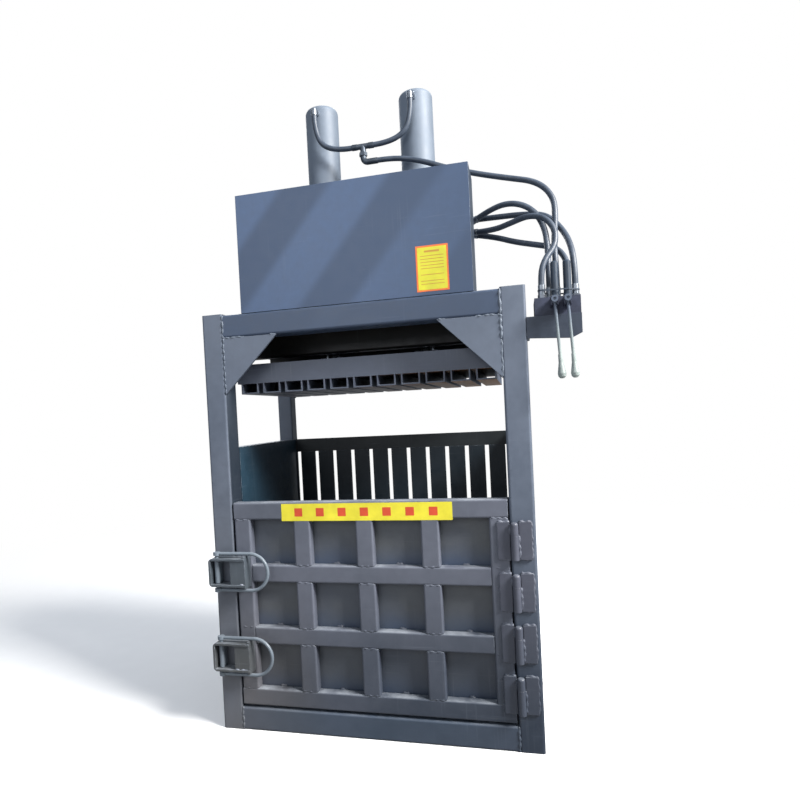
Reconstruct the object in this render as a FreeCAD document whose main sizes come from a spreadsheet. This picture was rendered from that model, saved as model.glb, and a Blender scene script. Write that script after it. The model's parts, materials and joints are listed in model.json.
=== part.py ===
# Recycling baler: a twin-cylinder vertical press for card, film and bottles.
# Origin: on the floor at the centre of the frame's footprint. +X is to the right
# as seen from the door, +Y runs from the door to the back, +Z is up. Millimetres.
import FreeCAD, Part
import math
import operator
import os
from types import SimpleNamespace

import Sketcher

Vector = FreeCAD.Vector
Rotation = FreeCAD.Rotation

# ---------------------------------------------------------------- driving sizes
DRIVING_SIZES = [
    # welded frame of rectangular tube
    ("frame_width", 1200.0),
    ("frame_depth", 780.0),
    ("frame_height", 1588.0),
    ("post_width", 85.0),
    ("post_depth", 92.0),
    ("post_rise", 5.0),
    ("back_post_width", 70.0),
    ("back_post_depth", 68.0),
    ("frame_tube_wall", 6.0),
    ("frame_tube_corner", 9.0),
    ("beam_height", 87.0),
    ("side_beam_height", 115.0),
    ("side_beam_width", 60.0),
    ("sill_height", 88.0),
    ("gusset_leg_across", 217.0),
    ("gusset_leg_down", 214.0),
    ("gusset_thickness", 10.0),
    # crown that carries the two cylinders
    ("crown_plate_thickness", 15.0),
    ("crown_beam_height", 132.0),
    ("crown_beam_width", 60.0),
    ("crown_beam_offset", 125.0),
    # bale chamber
    ("chamber_height", 1082.0),
    ("wall_sheet", 6.0),
    ("wall_rail_height", 60.0),
    ("wall_rail_width", 40.0),
    ("wall_rail_wall", 4.0),
    ("strap_margin", 14.5),
    ("strap_slot", 18.0),
    ("back_band_height", 62.0),
    ("back_plate", 10.0),
    ("back_rail_height", 60.0),
    ("back_rail_wall", 4.0),
    ("floor_sheet", 10.0),
    ("bearer_width", 60.0),
    ("rib_gap", 21.0),
    ("rib_height", 40.0),
    ("rib_wall", 5.0),
    # door of square-cornered tube with a sheet behind it
    ("door_bottom", 98.0),
    ("door_height", 775.0),
    ("door_gap", 5.0),
    ("door_tube_width", 65.0),
    ("door_tube_depth", 40.0),
    ("door_tube_wall", 4.0),
    ("door_tube_corner", 7.0),
    ("door_sheet", 5.0),
    # lift-off hinges
    ("hinge_height", 128.0),
    ("hinge_lowest", 201.0),
    ("hinge_pitch", 176.7),
    ("hinge_inset", 14.0),
    ("hinge_setout", 14.0),
    ("hinge_leaf_width", 41.0),
    ("hinge_leaf_thickness", 8.0),
    ("knuckle_diameter", 27.0),
    ("knuckle_split", 43.0),
    ("hinge_pin_diameter", 14.0),
    ("running_clearance", 0.06),
    # door latches
    ("latch_low", 297.0),
    ("latch_high", 617.5),
    ("latch_strap_reach", 147.0),
    ("latch_strap_height", 106.0),
    ("latch_strap_depth", 54.0),
    ("latch_strap_thickness", 8.0),
    ("latch_pin_diameter", 14.0),
    ("latch_pin_inset", 26.0),
    ("latch_pin_setout", 32.0),
    ("handle_height", 138.0),
    ("handle_reach", 205.0),
    ("handle_bar", 13.0),
    # hydraulic cylinders
    ("cylinder_spacing", 405.0),
    ("cylinder_setback", 408.0),
    ("cylinder_rise", 902.0),
    ("cylinder_drop", 88.0),
    ("cylinder_diameter", 138.0),
    ("cylinder_bore", 110.0),
    ("cylinder_cap", 30.0),
    ("cylinder_rounding", 22.0),
    ("cylinder_flange", 210.0),
    ("cylinder_flange_thickness", 25.0),
    ("gland_height", 55.0),
    ("rod_diameter", 70.0),
    ("piston_height", 60.0),
    ("piston_margin", 20.0),
    # pressing platen, raised
    ("platen_side_gap", 10.0),
    ("platen_front", 85.0),
    ("platen_back_gap", 17.0),
    ("platen_drop", 260.0),
    ("platen_side_height", 75.0),
    ("platen_plate", 16.0),
    ("platen_side_plate", 12.0),
    ("rod_seat", 150.0),
    ("rod_flange_thickness", 22.0),
    # power unit on the crown
    ("tank_left", 435.0),
    ("tank_right", 430.0),
    ("tank_height", 439.0),
    ("tank_depth", 170.0),
    ("tank_setback", 2.0),
    ("tank_wall", 4.0),
    ("motor_from_back", 140.0),
    ("motor_axis_height", 132.0),
    ("motor_diameter", 210.0),
    ("motor_fin_height", 14.0),
    ("motor_length", 270.0),
    ("motor_left", 330.0),
    ("motor_foot_width", 40.0),
    ("fan_cowl_length", 84.0),
    ("bell_length", 134.0),
    ("pump_length", 118.0),
    ("pump_width", 92.0),
    ("pump_height", 124.0),
    ("pump_cover_length", 32.0),
    # hand valve at the right
    ("valve_ledge_drop", 105.0),
    ("bracket_reach", 176.0),
    ("bracket_height", 71.0),
    ("bracket_sheet", 8.0),
    ("valve_height", 62.0),
    ("lever_pitch", 41.0),
    ("lever_first", 90.0),
    ("lever_setout", 34.0),
    ("lever_drop", 258.0),
    ("lever_eye_diameter", 26.0),
    ("lever_eye_width", 14.0),
    ("lever_pin_diameter", 12.0),
    # hoses and pipes
    ("filler_inset", 135.0),
    ("filler_radius", 32.0),
    ("filler_height", 33.0),
    ("level_glass_height", 160.0),
    ("level_glass_rise", 130.0),
    ("hose_diameter", 21.0),
    ("pipe_diameter", 16.0),
    ("ferrule_diameter", 25.0),
    ("ferrule_length", 32.0),
]

STRAP_COUNT = 11
BEARER_COUNT = 3
HINGE_COUNT = 4
DOOR_ROWS = 3
DOOR_COLUMNS = 4
MOTOR_FINS = 24
FIN_THICKNESS = 4.0

doc = FreeCAD.newDocument("recycling_baler")
sheet = doc.addObject("Spreadsheet::Sheet", "Sizes")


class Size:
    """A length that knows its value and its formula in the sheet's names."""

    JOIN = {"+": operator.add, "-": operator.sub, "*": operator.mul, "/": operator.truediv}

    def __init__(self, formula, value):
        self.formula = formula
        self.value = value

    def joined(self, sign, left, right):
        text = f"({formula(left)} {sign} {formula(right)})"
        return Size(text, self.JOIN[sign](number(left), number(right)))

    def __add__(self, other):
        return self.joined("+", self, other)

    def __radd__(self, other):
        return self.joined("+", other, self)

    def __sub__(self, other):
        return self.joined("-", self, other)

    def __rsub__(self, other):
        return self.joined("-", other, self)

    def __mul__(self, other):
        return self.joined("*", self, other)

    def __rmul__(self, other):
        return self.joined("*", other, self)

    def __truediv__(self, other):
        return self.joined("/", self, other)

    def __neg__(self):
        return self.joined("-", 0, self)


def number(length):
    return length.value if isinstance(length, Size) else float(length)


def formula(length):
    return length.formula if isinstance(length, Size) else f"({float(length)})"


def fill_sheet():
    sizes = {}
    for row, (alias, value) in enumerate(DRIVING_SIZES, 1):
        sheet.set(f"A{row}", alias.replace("_", " "))
        sheet.set(f"B{row}", str(value))
        sheet.setAlias(f"B{row}", alias)
        sizes[alias] = Size(f"Sizes.{alias}", value)
    return SimpleNamespace(**sizes)


s = fill_sheet()
doc.recompute()

# ------------------------------------------------------------ shared places
half = s.frame_width / 2
front = -s.frame_depth / 2
back = s.frame_depth / 2
post_face = half - s.post_width
front_post_back = front + s.post_depth
back_post_face = half - s.back_post_width
back_post_front = back - s.back_post_depth
beam_under = s.frame_height - s.beam_height
crown_under = s.frame_height - s.crown_plate_thickness
cylinder_x = s.cylinder_spacing / 2
cylinder_y = front + s.cylinder_setback
barrel_radius = s.cylinder_diameter / 2
rod_radius = s.rod_diameter / 2
cylinder_top = s.frame_height + s.cylinder_rise
cylinder_bottom = s.frame_height - s.cylinder_drop
piston_top = cylinder_top - s.cylinder_cap - s.piston_margin
platen_half = post_face - s.platen_side_gap
platen_under = s.frame_height - s.platen_drop
strap_pitch = (2 * post_face - 2 * s.strap_margin) / STRAP_COUNT
rib_width = strap_pitch - s.rib_gap
valve_ledge = s.frame_height - s.valve_ledge_drop

# ---------------------------------------------------------------- tools of form
AXES = {"x": Vector(1, 0, 0), "y": Vector(0, 1, 0), "z": Vector(0, 0, 1)}
TURNS = {"x": Rotation(Vector(0, 1, 0), 90), "y": Rotation(Vector(1, 0, 0), -90), "z": Rotation()}
PLANES = {"x": "YZ_Plane", "y": "XZ_Plane", "z": "XY_Plane"}
NODES = []


def probe(kind):
    """Shape of a plain primitive, to learn how its edges are numbered."""
    thing = doc.addObject(kind, "probe")
    doc.recompute()
    shape = thing.Shape.copy()
    doc.removeObject(thing.Name)
    return shape


def numbered(shape, chosen):
    """Numbers of the edges that a test picks, counted from 1."""
    return [count for count, edge in enumerate(shape.Edges, 1) if chosen(edge)]


def runs_along(edge, axis):
    straight = isinstance(edge.Curve, Part.Line)
    return straight and edge.tangentAt(edge.FirstParameter).cross(AXES[axis]).Length < 1e-6


BOX = probe("Part::Box")
BOX_EDGES = {axis: numbered(BOX, lambda edge: runs_along(edge, axis)) for axis in AXES}
TOP_RIM = numbered(probe("Part::Cylinder"), lambda edge: edge.CenterOfMass.z > 9.0)


def place(thing, x=0, y=0, z=0, turn=None):
    if turn is not None:
        thing.Placement = FreeCAD.Placement(Vector(), turn)
    for axis, length in (("x", x), ("y", y), ("z", z)):
        thing.setExpression(f"Placement.Base.{axis}", formula(length))


def block(label, x, y, z):
    """A plain plate or bar between pairs of limits."""
    thing = doc.addObject("Part::Box", label)
    for side, (low, high) in (("Length", x), ("Width", y), ("Height", z)):
        thing.setExpression(side, formula(high - low))
    place(thing, x[0], y[0], z[0])
    return thing


def round_bar(label, at, radius, length, axis="z"):
    """A plain cylinder that starts at a point and runs along an axis."""
    thing = doc.addObject("Part::Cylinder", label)
    thing.setExpression("Radius", formula(radius))
    thing.setExpression("Height", formula(length))
    place(thing, *at, turn=TURNS[axis])
    return thing


def cut(label, base, *tools):
    thing = doc.addObject("Part::Cut", label)
    thing.Base = base
    thing.Tool = tools[0] if len(tools) == 1 else group(f"{label}_tools", tools)
    return thing


def fuse(label, *pieces):
    thing = doc.addObject("Part::MultiFuse", label)
    thing.Shapes = list(pieces)
    return thing


def group(label, pieces):
    thing = doc.addObject("Part::Compound", label)
    thing.Links = list(pieces)
    return thing


def node(label, *pieces):
    """One named sub-part. Several like pieces stay separate solids in it."""
    thing = pieces[0] if len(pieces) == 1 else group(label, pieces)
    thing.Label = label
    NODES.append(thing)
    return thing


def tube(label, along, x, y, z, wall, corner, capped=False):
    """Rectangular hollow section, rounded outside; capped ends are closed by a plate."""
    limits = {"x": x, "y": y, "z": z}
    outer = block(f"{label}_outer", x, y, z)
    rounded = doc.addObject("Part::Fillet", f"{label}_rounded")
    rounded.Base = outer
    rounded.Edges = [(edge, number(corner), number(corner)) for edge in BOX_EDGES[along]]
    inner = {}
    for axis, (low, high) in limits.items():
        margin = wall if axis != along or capped else 0
        inner[axis] = (low + margin, high - margin)
    return cut(label, rounded, block(f"{label}_inner", inner["x"], inner["y"], inner["z"]))


def sketched(label, axis, corners):
    """A new body with a closed outline whose every corner is tied to the sheet."""
    body = doc.addObject("PartDesign::Body", label)
    plane = next(item for item in body.Origin.OriginFeatures if item.Role == PLANES[axis])
    sketch = body.newObject("Sketcher::SketchObject", f"{label}_outline")
    sketch.AttachmentSupport = (plane, [""])
    sketch.MapMode = "FlatFace"
    spots = [Vector(number(u), number(v), 0) for u, v in corners]
    for count, spot in enumerate(spots):
        sketch.addGeometry(Part.LineSegment(spot, spots[(count + 1) % len(spots)]), False)
    for count in range(len(spots)):
        sketch.addConstraint(Sketcher.Constraint("Coincident", count, 2, (count + 1) % len(spots), 1))
    for count, (u, v) in enumerate(corners):
        for kind, length in (("DistanceX", u), ("DistanceY", v)):
            tie = sketch.addConstraint(Sketcher.Constraint(kind, -1, 1, count, 1, number(length)))
            sketch.setExpression(f"Constraints[{tie}]", formula(length))
    return body, sketch


def padded(label, axis, corners, limits):
    """An outline drawn square to an axis and padded between two limits on it."""
    body, sketch = sketched(label, axis, corners)
    pad = body.newObject("PartDesign::Pad", f"{label}_pad")
    pad.Profile = sketch
    pad.setExpression("Length", formula(limits[1] - limits[0]))
    start = {"x": limits[0], "y": limits[1], "z": limits[0]}[axis]
    place(body, **{axis: start})
    return body


def rounded_body(body, radius, chosen):
    """Rounds the edges of a body's last feature that a test picks."""
    doc.recompute()
    tip = body.Tip
    fillet = body.newObject("PartDesign::Fillet", f"{body.Label}_round")
    fillet.Base = (tip, [f"Edge{count}" for count in numbered(tip.Shape, chosen)])
    fillet.setExpression("Radius", formula(radius))
    return body


def turned(label, profile, at=(0, 0, 0), axis="z"):
    """A turned piece: pairs of radius and height, spun round its own axis."""
    body, sketch = sketched(label, "y", profile)
    spin = body.newObject("PartDesign::Revolution", f"{label}_turning")
    spin.Profile = sketch
    spin.ReferenceAxis = (sketch, ["V_Axis"])
    spin.Angle = 360
    place(body, *at, turn=TURNS[axis])
    return body


# ------------------------------------------------------------------- the frame
def frame_posts():
    """Four posts stand on the floor; they rise a little past the beams."""
    wall, corner = s.frame_tube_wall, s.frame_tube_corner
    z = (0 * half, s.frame_height + s.post_rise)
    rear = []
    for side, sign in (("left", -1), ("right", 1)):
        x = sorted((sign * half, sign * post_face), key=number)
        node(f"front_post_{side}", tube(f"front_post_{side}_tube", "z", x, (front, front_post_back), z,
                                        wall, corner, capped=True))
        x = sorted((sign * half, sign * back_post_face), key=number)
        rear.append(tube(f"back_post_{side}_tube", "z", x, (back_post_front, back), z,
                         wall, corner, capped=True))
    node("back_posts", *rear)


def top_beams():
    wall, corner = s.frame_tube_wall, s.frame_tube_corner
    node("top_beam_front", tube(
        "top_beam_front_tube", "x", (-post_face, post_face), (front, front_post_back),
        (beam_under, s.frame_height), wall, corner))
    pieces = [tube("top_beam_back_tube", "x", (-back_post_face, back_post_face), (back_post_front, back),
                   (beam_under, s.frame_height), wall, corner)]
    for side, sign in (("left", -1), ("right", 1)):
        x = sorted((sign * half, sign * (half - s.side_beam_width)), key=number)
        pieces.append(tube(f"top_beam_{side}_tube", "y", x, (front_post_back, back_post_front),
                           (s.frame_height - s.side_beam_height, s.frame_height), wall, corner))
    node("top_beams_rear", *pieces)


def base_beams():
    wall, corner = s.frame_tube_wall, s.frame_tube_corner
    zero = 0 * half
    node("sill_beam", tube("sill_beam_tube", "x", (-post_face, post_face), (front, front_post_back),
                           (zero, s.sill_height), wall, corner))
    pieces = [tube("base_beam_back_tube", "x", (-back_post_face, back_post_face), (back_post_front, back),
                   (zero, s.sill_height), wall, corner)]
    for count in range(BEARER_COUNT):
        centre = front_post_back + (back_post_front - front_post_back) * (count + 1) / (BEARER_COUNT + 1)
        y = (centre - s.bearer_width / 2, centre + s.bearer_width / 2)
        pieces.append(tube(f"floor_bearer_{count}", "x", (-post_face, post_face), y,
                           (zero, s.sill_height - s.floor_sheet), wall, corner))
    for side, sign in (("left", -1), ("right", 1)):
        x = sorted((sign * half, sign * post_face), key=number)
        pieces.append(tube(f"base_beam_{side}_tube", "y", x, (front_post_back, back_post_front),
                           (zero, s.sill_height), wall, corner))
    node("base_beams_rear", *pieces)


def gussets():
    """Triangular plates set in the top corners, flush with the outer faces."""
    pieces = []
    rows = (("front", post_face, (front, front + s.gusset_thickness)),
            ("back", back_post_face, (back - s.gusset_thickness, back)))
    for place_name, face, depth in rows:
        for side, sign in (("left", -1), ("right", 1)):
            corners = [(sign * face, beam_under),
                       (sign * (face - s.gusset_leg_across), beam_under),
                       (sign * face, beam_under - s.gusset_leg_down)]
            pieces.append(padded(f"gusset_{place_name}_{side}", "y", corners, depth))
    node("corner_gussets", *pieces)


# -------------------------------------------------------------------- the crown
BOLT_SPREAD = 0.37          # of the cylinder flange's width, from its centre
BOLT_RADIUS = 10.0
BOLT_HEAD_RADIUS = 16.0
BOLT_HEAD_HEIGHT = 12.0
BOLT_ROOM = 0.5             # between a bolt and its hole


def flange_bolt_spots():
    reach = s.cylinder_flange * BOLT_SPREAD
    return [(side * cylinder_x + across * reach, cylinder_y + along * reach)
            for side in (-1, 1) for across in (-1, 1) for along in (-1, 1)]


def crown():
    """Two cross tubes carry a plate that the cylinders hang through."""
    inner_x = half - s.side_beam_width
    pieces = []
    for count, sign in enumerate((-1, 1)):
        centre = cylinder_y + sign * s.crown_beam_offset
        y = (centre - s.crown_beam_width / 2, centre + s.crown_beam_width / 2)
        pieces.append(tube(f"crown_beam_{count}", "x", (-inner_x, inner_x), y,
                           (crown_under - s.crown_beam_height, crown_under),
                           s.frame_tube_wall, s.frame_tube_corner))
    node("crown_beams", *pieces)
    plate = block("crown_blank", (-inner_x, inner_x), (front_post_back, back_post_front),
                  (crown_under, s.frame_height))
    holes = [round_bar(f"barrel_hole_{count}", (sign * cylinder_x, cylinder_y, crown_under),
                       barrel_radius + 1.5, s.crown_plate_thickness)
             for count, sign in enumerate((-1, 1))]
    holes += [round_bar(f"crown_bolt_hole_{count}", (x, y, crown_under),
                        BOLT_RADIUS + BOLT_ROOM, s.crown_plate_thickness)
              for count, (x, y) in enumerate(flange_bolt_spots())]
    node("crown_plate", cut("crown_plate_cut", plate, *holes))


def hexagon(label, at, radius, height, axis="z"):
    """A nut or bolt head: six flats round an axis."""
    thing = doc.addObject("Part::Prism", label)
    thing.Polygon = 6
    thing.setExpression("Circumradius", formula(radius))
    thing.setExpression("Height", formula(height))
    place(thing, *at, turn=TURNS[axis])
    return thing


def flange_bolts():
    top = s.frame_height + s.cylinder_flange_thickness
    pieces = []
    for count, (x, y) in enumerate(flange_bolt_spots()):
        head = hexagon(f"flange_bolt_head_{count}", (x, y, top), BOLT_HEAD_RADIUS, BOLT_HEAD_HEIGHT)
        nut = hexagon(f"flange_bolt_nut_{count}", (x, y, crown_under - BOLT_HEAD_HEIGHT),
                      BOLT_HEAD_RADIUS, BOLT_HEAD_HEIGHT)
        shank = round_bar(f"flange_bolt_shank_{count}", (x, y, crown_under - BOLT_HEAD_HEIGHT),
                          BOLT_RADIUS, top - crown_under + 2 * BOLT_HEAD_HEIGHT)
        pieces.append(fuse(f"flange_bolt_{count}", head, nut, shank))
    node("cylinder_bolts", *pieces)


# ------------------------------------------------------------- bale chamber
def strap_line(count):
    """Centre of a strap gap, from the left wall to the right one."""
    return (count - STRAP_COUNT / 2) * strap_pitch


def chamber_walls():
    """A sheet at each side, flush with the posts, with three rails on its outside."""
    outer = post_face + s.wall_sheet
    rails = []
    for side, sign in (("left", -1), ("right", 1)):
        x = sorted((sign * post_face, sign * outer), key=number)
        node(f"chamber_wall_{side}", block(
            f"chamber_wall_{side}_sheet", x, (front_post_back, back_post_front),
            (s.sill_height, s.chamber_height)))
        x = sorted((sign * outer, sign * (outer + s.wall_rail_width)), key=number)
        for count in range(3):
            top = s.chamber_height - count * (s.chamber_height - s.sill_height) / 3
            rails.append(tube(f"wall_rail_{side}_{count}", "y", x, (front_post_back, back_post_front),
                              (top - s.wall_rail_height, top), s.wall_rail_wall, s.wall_rail_wall))
    node("wall_rails", *rails)


def back_wall():
    """Upright strips leave a slot at every strap line, under one solid band."""
    y = (back_post_front, back_post_front + s.back_plate)
    band_bottom = s.chamber_height - s.back_band_height
    node("back_wall_band", block("back_wall_band_plate", (-back_post_face, back_post_face), y,
                                 (band_bottom, s.chamber_height)))
    strips = []
    for count in range(STRAP_COUNT + 2):
        low = -back_post_face if count == 0 else strap_line(count - 1) + s.strap_slot / 2
        high = back_post_face if count == STRAP_COUNT + 1 else strap_line(count) - s.strap_slot / 2
        strips.append(block(f"back_strip_{count}", (low, high), y, (s.sill_height, band_bottom)))
    node("back_wall_slats", *strips)
    rails = []
    for count, share in enumerate((1, 2)):
        middle = s.sill_height + share * (band_bottom - s.sill_height) / 3
        rails.append(tube(f"back_rail_{count}", "x", (-back_post_face, back_post_face), (y[1], back),
                          (middle - s.back_rail_height / 2, middle + s.back_rail_height / 2),
                          s.back_rail_wall, s.back_rail_wall))
    node("back_wall_rails", *rails)


def channel(label, x, y, z, wall, opens_up):
    """A rib: a folded channel whose mouth is closed by the plate it is welded to."""
    outer = block(f"{label}_outer", x, y, z)
    inner_z = (z[0] + wall, z[1]) if opens_up else (z[0], z[1] - wall)
    inner = block(f"{label}_inner", (x[0] + wall, x[1] - wall), y, inner_z)
    return cut(label, outer, inner)


def rib_row(label, y, z, opens_up):
    ribs = []
    for count in range(STRAP_COUNT):
        centre = (strap_line(count) + strap_line(count + 1)) / 2
        x = (centre - rib_width / 2, centre + rib_width / 2)
        ribs.append(channel(f"{label}_{count}", x, y, z, s.rib_wall, opens_up))
    node(label, *ribs)


def chamber_floor():
    """The floor sheet rests on the bearers between the base beams and carries ribs."""
    top = s.sill_height
    depth = (front_post_back, back_post_front)
    node("floor_plate", block("floor_plate_sheet", (-post_face, post_face), depth,
                              (top - s.floor_sheet, top)))
    door_back = front + s.door_tube_depth + s.door_sheet
    rib_row("floor_ribs", (door_back + 10, back_post_front - 4), (top, top + s.rib_height), opens_up=False)


# ----------------------------------------------------------------- the cylinders
PORT_RADIUS = 13.0
PORT_STANDOUT = 12.0        # from the barrel to a port's face
ROD_PORT_HEIGHT = 62.0      # above the crown
CAP_PORT_DROP = 42.0        # below the cylinder's top


def cylinders():
    """Each barrel is closed on top and hangs through the crown by its flange."""
    bore_radius = s.cylinder_bore / 2
    top = cylinder_top
    for side, sign in (("left", -1), ("right", 1)):
        x = sign * cylinder_x
        label = f"cylinder_{side}"
        blank = round_bar(f"{label}_blank", (x, cylinder_y, cylinder_bottom), barrel_radius,
                          top - cylinder_bottom)
        skin = doc.addObject("Part::Fillet", f"{label}_skin")
        skin.Base = blank
        rounding = number(s.cylinder_rounding)
        skin.Edges = [(TOP_RIM[0], rounding, rounding)]
        reach = s.cylinder_flange / 2
        flange = block(f"{label}_flange", (x - reach, x + reach), (cylinder_y - reach, cylinder_y + reach),
                       (s.frame_height, s.frame_height + s.cylinder_flange_thickness))
        face = cylinder_y - barrel_radius - PORT_STANDOUT
        ports = [round_bar(f"{label}_port_{count}", (x, face, height), PORT_RADIUS,
                           PORT_STANDOUT + 10, "y")
                 for count, height in enumerate((s.frame_height + ROD_PORT_HEIGHT, top - CAP_PORT_DROP))]
        bore = round_bar(f"{label}_bore", (x, cylinder_y, cylinder_bottom), bore_radius,
                         top - s.cylinder_cap - cylinder_bottom)
        holes = [round_bar(f"{label}_bolt_hole_{count}", (spot[0], spot[1], s.frame_height),
                           BOLT_RADIUS + BOLT_ROOM, s.cylinder_flange_thickness)
                 for count, spot in enumerate(flange_bolt_spots()) if spot[0].value * sign > 0]
        node(f"{label}_barrel", cut(f"{label}_barrel_cut", fuse(f"{label}_body", skin, flange, *ports),
                                    bore, *holes))
    glands = []
    for count, sign in enumerate((-1, 1)):
        inner = rod_radius + s.running_clearance
        glands.append(turned(f"gland_{count}", [
            (inner, cylinder_bottom - 14), (barrel_radius, cylinder_bottom - 14),
            (barrel_radius, cylinder_bottom), (bore_radius, cylinder_bottom),
            (bore_radius, cylinder_bottom + s.gland_height), (inner, cylinder_bottom + s.gland_height),
        ], at=(sign * cylinder_x, cylinder_y, 0)))
    node("cylinder_glands", *glands)


# ------------------------------------------------------------------- the platen
PISTON_ROOM = 0.25
ROD_BOLT_CIRCLE = 52.0
ROD_BOLT_RADIUS = 7.0
ROD_BOLT_HEAD = 12.0
ROD_BOLT_HEAD_HEIGHT = 9.0
ROD_FLANGE_RADIUS = 66.0

platen_top = platen_under + s.platen_side_height
platen_y = (front + s.platen_front, back_post_front - s.platen_back_gap)


def rod_bolt_spots():
    reach = ROD_BOLT_CIRCLE / math.sqrt(2)
    return [(side * cylinder_x + across * reach, cylinder_y + along * reach)
            for side in (-1, 1) for across in (-1, 1) for along in (-1, 1)]


def platen():
    """A welded box under the rods, with a channel rib between each pair of straps."""
    reach = platen_half
    y0, y1 = platen_y
    under = platen_under
    thick, side_thick = s.platen_plate, s.platen_side_plate
    seat_half = s.rod_seat / 2
    plates = [block("platen_base", (-reach, reach), (y0 + side_thick, y1), (under, under + thick))]
    for count, sign in enumerate((-1, 1)):
        x = (sign * cylinder_x - seat_half, sign * cylinder_x + seat_half)
        seat = block(f"rod_seat_{count}", x, (cylinder_y - seat_half, cylinder_y + seat_half),
                     (platen_top - thick, platen_top))
        holes = [round_bar(f"rod_seat_hole_{count}_{number_}", (spot[0], spot[1], platen_top - thick),
                           ROD_BOLT_RADIUS + BOLT_ROOM, thick)
                 for number_, spot in enumerate(rod_bolt_spots()) if spot[0].value * sign > 0]
        plates.append(cut(f"rod_seat_plate_{count}", seat, *holes))
    node("platen_plates", *plates)
    walls = [
        block("platen_front_plate", (-reach, reach), (y0, y0 + side_thick), (under, platen_top)),
        block("platen_back_plate", (-reach, reach), (y1 - side_thick, y1), (under + thick, platen_top)),
    ]
    for side, sign in (("left", -1), ("right", 1)):
        x = sorted((sign * reach, sign * (reach - side_thick)), key=number)
        walls.append(block(f"platen_{side}_plate", x, (y0 + side_thick, y1 - side_thick),
                           (under + thick, platen_top)))
    # webs run from front to back beside each rod seat
    for count, offset in enumerate((-1, 1)):
        for sign in (-1, 1):
            middle = sign * cylinder_x + offset * (seat_half - side_thick / 2)
            x = (middle - side_thick / 2, middle + side_thick / 2)
            walls.append(block(f"platen_web_{sign}_{count}", x, (y0 + side_thick, y1 - side_thick),
                               (under + thick, platen_top - thick)))
    node("platen_frame", *walls)
    rib_row("platen_ribs", platen_y, (under - s.rib_height, under), opens_up=True)


def rods():
    """Each rod ends in a bolted flange below and in its piston above."""
    pieces = []
    bolts = []
    flange_top = platen_top + s.rod_flange_thickness
    for count, sign in enumerate((-1, 1)):
        spun = turned(f"rod_{count}", [
            (0, platen_top), (ROD_FLANGE_RADIUS, platen_top), (ROD_FLANGE_RADIUS, flange_top),
            (rod_radius, flange_top), (rod_radius, piston_top - s.piston_height),
            (s.cylinder_bore / 2 - PISTON_ROOM, piston_top - s.piston_height),
            (s.cylinder_bore / 2 - PISTON_ROOM, piston_top), (0, piston_top),
        ], at=(sign * cylinder_x, cylinder_y, 0))
        holes = [round_bar(f"rod_hole_{count}_{number_}", (spot[0], spot[1], platen_top),
                           ROD_BOLT_RADIUS + BOLT_ROOM, s.rod_flange_thickness)
                 for number_, spot in enumerate(rod_bolt_spots()) if spot[0].value * sign > 0]
        pieces.append(cut(f"rod_drilled_{count}", spun, *holes))
    node("piston_rods", *pieces)
    for count, (x, y) in enumerate(rod_bolt_spots()):
        head = hexagon(f"rod_bolt_head_{count}", (x, y, flange_top), ROD_BOLT_HEAD, ROD_BOLT_HEAD_HEIGHT)
        nut = hexagon(f"rod_bolt_nut_{count}", (x, y, platen_top - s.platen_plate - ROD_BOLT_HEAD_HEIGHT),
                      ROD_BOLT_HEAD, ROD_BOLT_HEAD_HEIGHT)
        length = flange_top - platen_top + s.platen_plate + 2 * ROD_BOLT_HEAD_HEIGHT
        foot = platen_top - s.platen_plate - ROD_BOLT_HEAD_HEIGHT
        shank = round_bar(f"rod_bolt_shank_{count}", (x, y, foot), ROD_BOLT_RADIUS, length)
        bolts.append(fuse(f"rod_bolt_{count}", head, nut, shank))
    node("rod_bolts", *bolts)


# --------------------------------------------------------------------- the door
door_half = post_face - s.door_gap
door_top = s.door_bottom + s.door_height
door_y = (front, front + s.door_tube_depth)


def door():
    """A grid of tube: full-width rails at top and bottom, stiles, and short uprights."""
    width, wall, corner = s.door_tube_width, s.door_tube_wall, s.door_tube_corner
    row_pitch = (s.door_height - width) / DOOR_ROWS
    column_pitch = (2 * door_half - width) / DOOR_COLUMNS
    inner_half = door_half - width
    rails = []
    for row in range(DOOR_ROWS + 1):
        outermost = row in (0, DOOR_ROWS)
        reach = door_half if outermost else inner_half
        low = s.door_bottom + row * row_pitch
        rails.append(tube(f"door_rail_{row}", "x", (-reach, reach), door_y, (low, low + width),
                          wall, corner, capped=outermost))
    node("door_rails", *rails)
    stiles = []
    for side, sign in (("left", -1), ("right", 1)):
        x = sorted((sign * door_half, sign * inner_half), key=number)
        stiles.append(tube(f"door_stile_{side}", "z", x, door_y,
                           (s.door_bottom + width, door_top - width), wall, corner))
    node("door_stiles", *stiles)
    uprights = []
    for column in range(1, DOOR_COLUMNS):
        low_x = -door_half + column * column_pitch
        for row in range(DOOR_ROWS):
            low_z = s.door_bottom + row * row_pitch + width
            uprights.append(tube(f"door_upright_{column}_{row}", "z", (low_x, low_x + width), door_y,
                                 (low_z, low_z + row_pitch - width), wall, corner))
    node("door_uprights", *uprights)
    node("door_sheet", block("door_sheet_plate", (-door_half, door_half),
                             (door_y[1], door_y[1] + s.door_sheet), (s.door_bottom, door_top)))


STOP_SIZE = (16.0, 5.0)     # width and thickness of the bar
STOP_FROM_DOOR = 1.0
STOP_LIFT = 60.0            # above the sill, clear of the floor's ribs


def door_stops():
    """Flat bars inside the posts stop the shut door and close the gap beside it."""
    near = front + s.door_tube_depth + s.door_sheet + STOP_FROM_DOOR
    bars = []
    for side, sign in (("left", -1), ("right", 1)):
        x = sorted((sign * post_face, sign * (post_face - STOP_SIZE[0])), key=number)
        bars.append(block(f"door_stop_{side}", x, (near, near + STOP_SIZE[1]),
                          (s.sill_height + STOP_LIFT, door_top)))
    node("door_stops", *bars)


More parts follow.
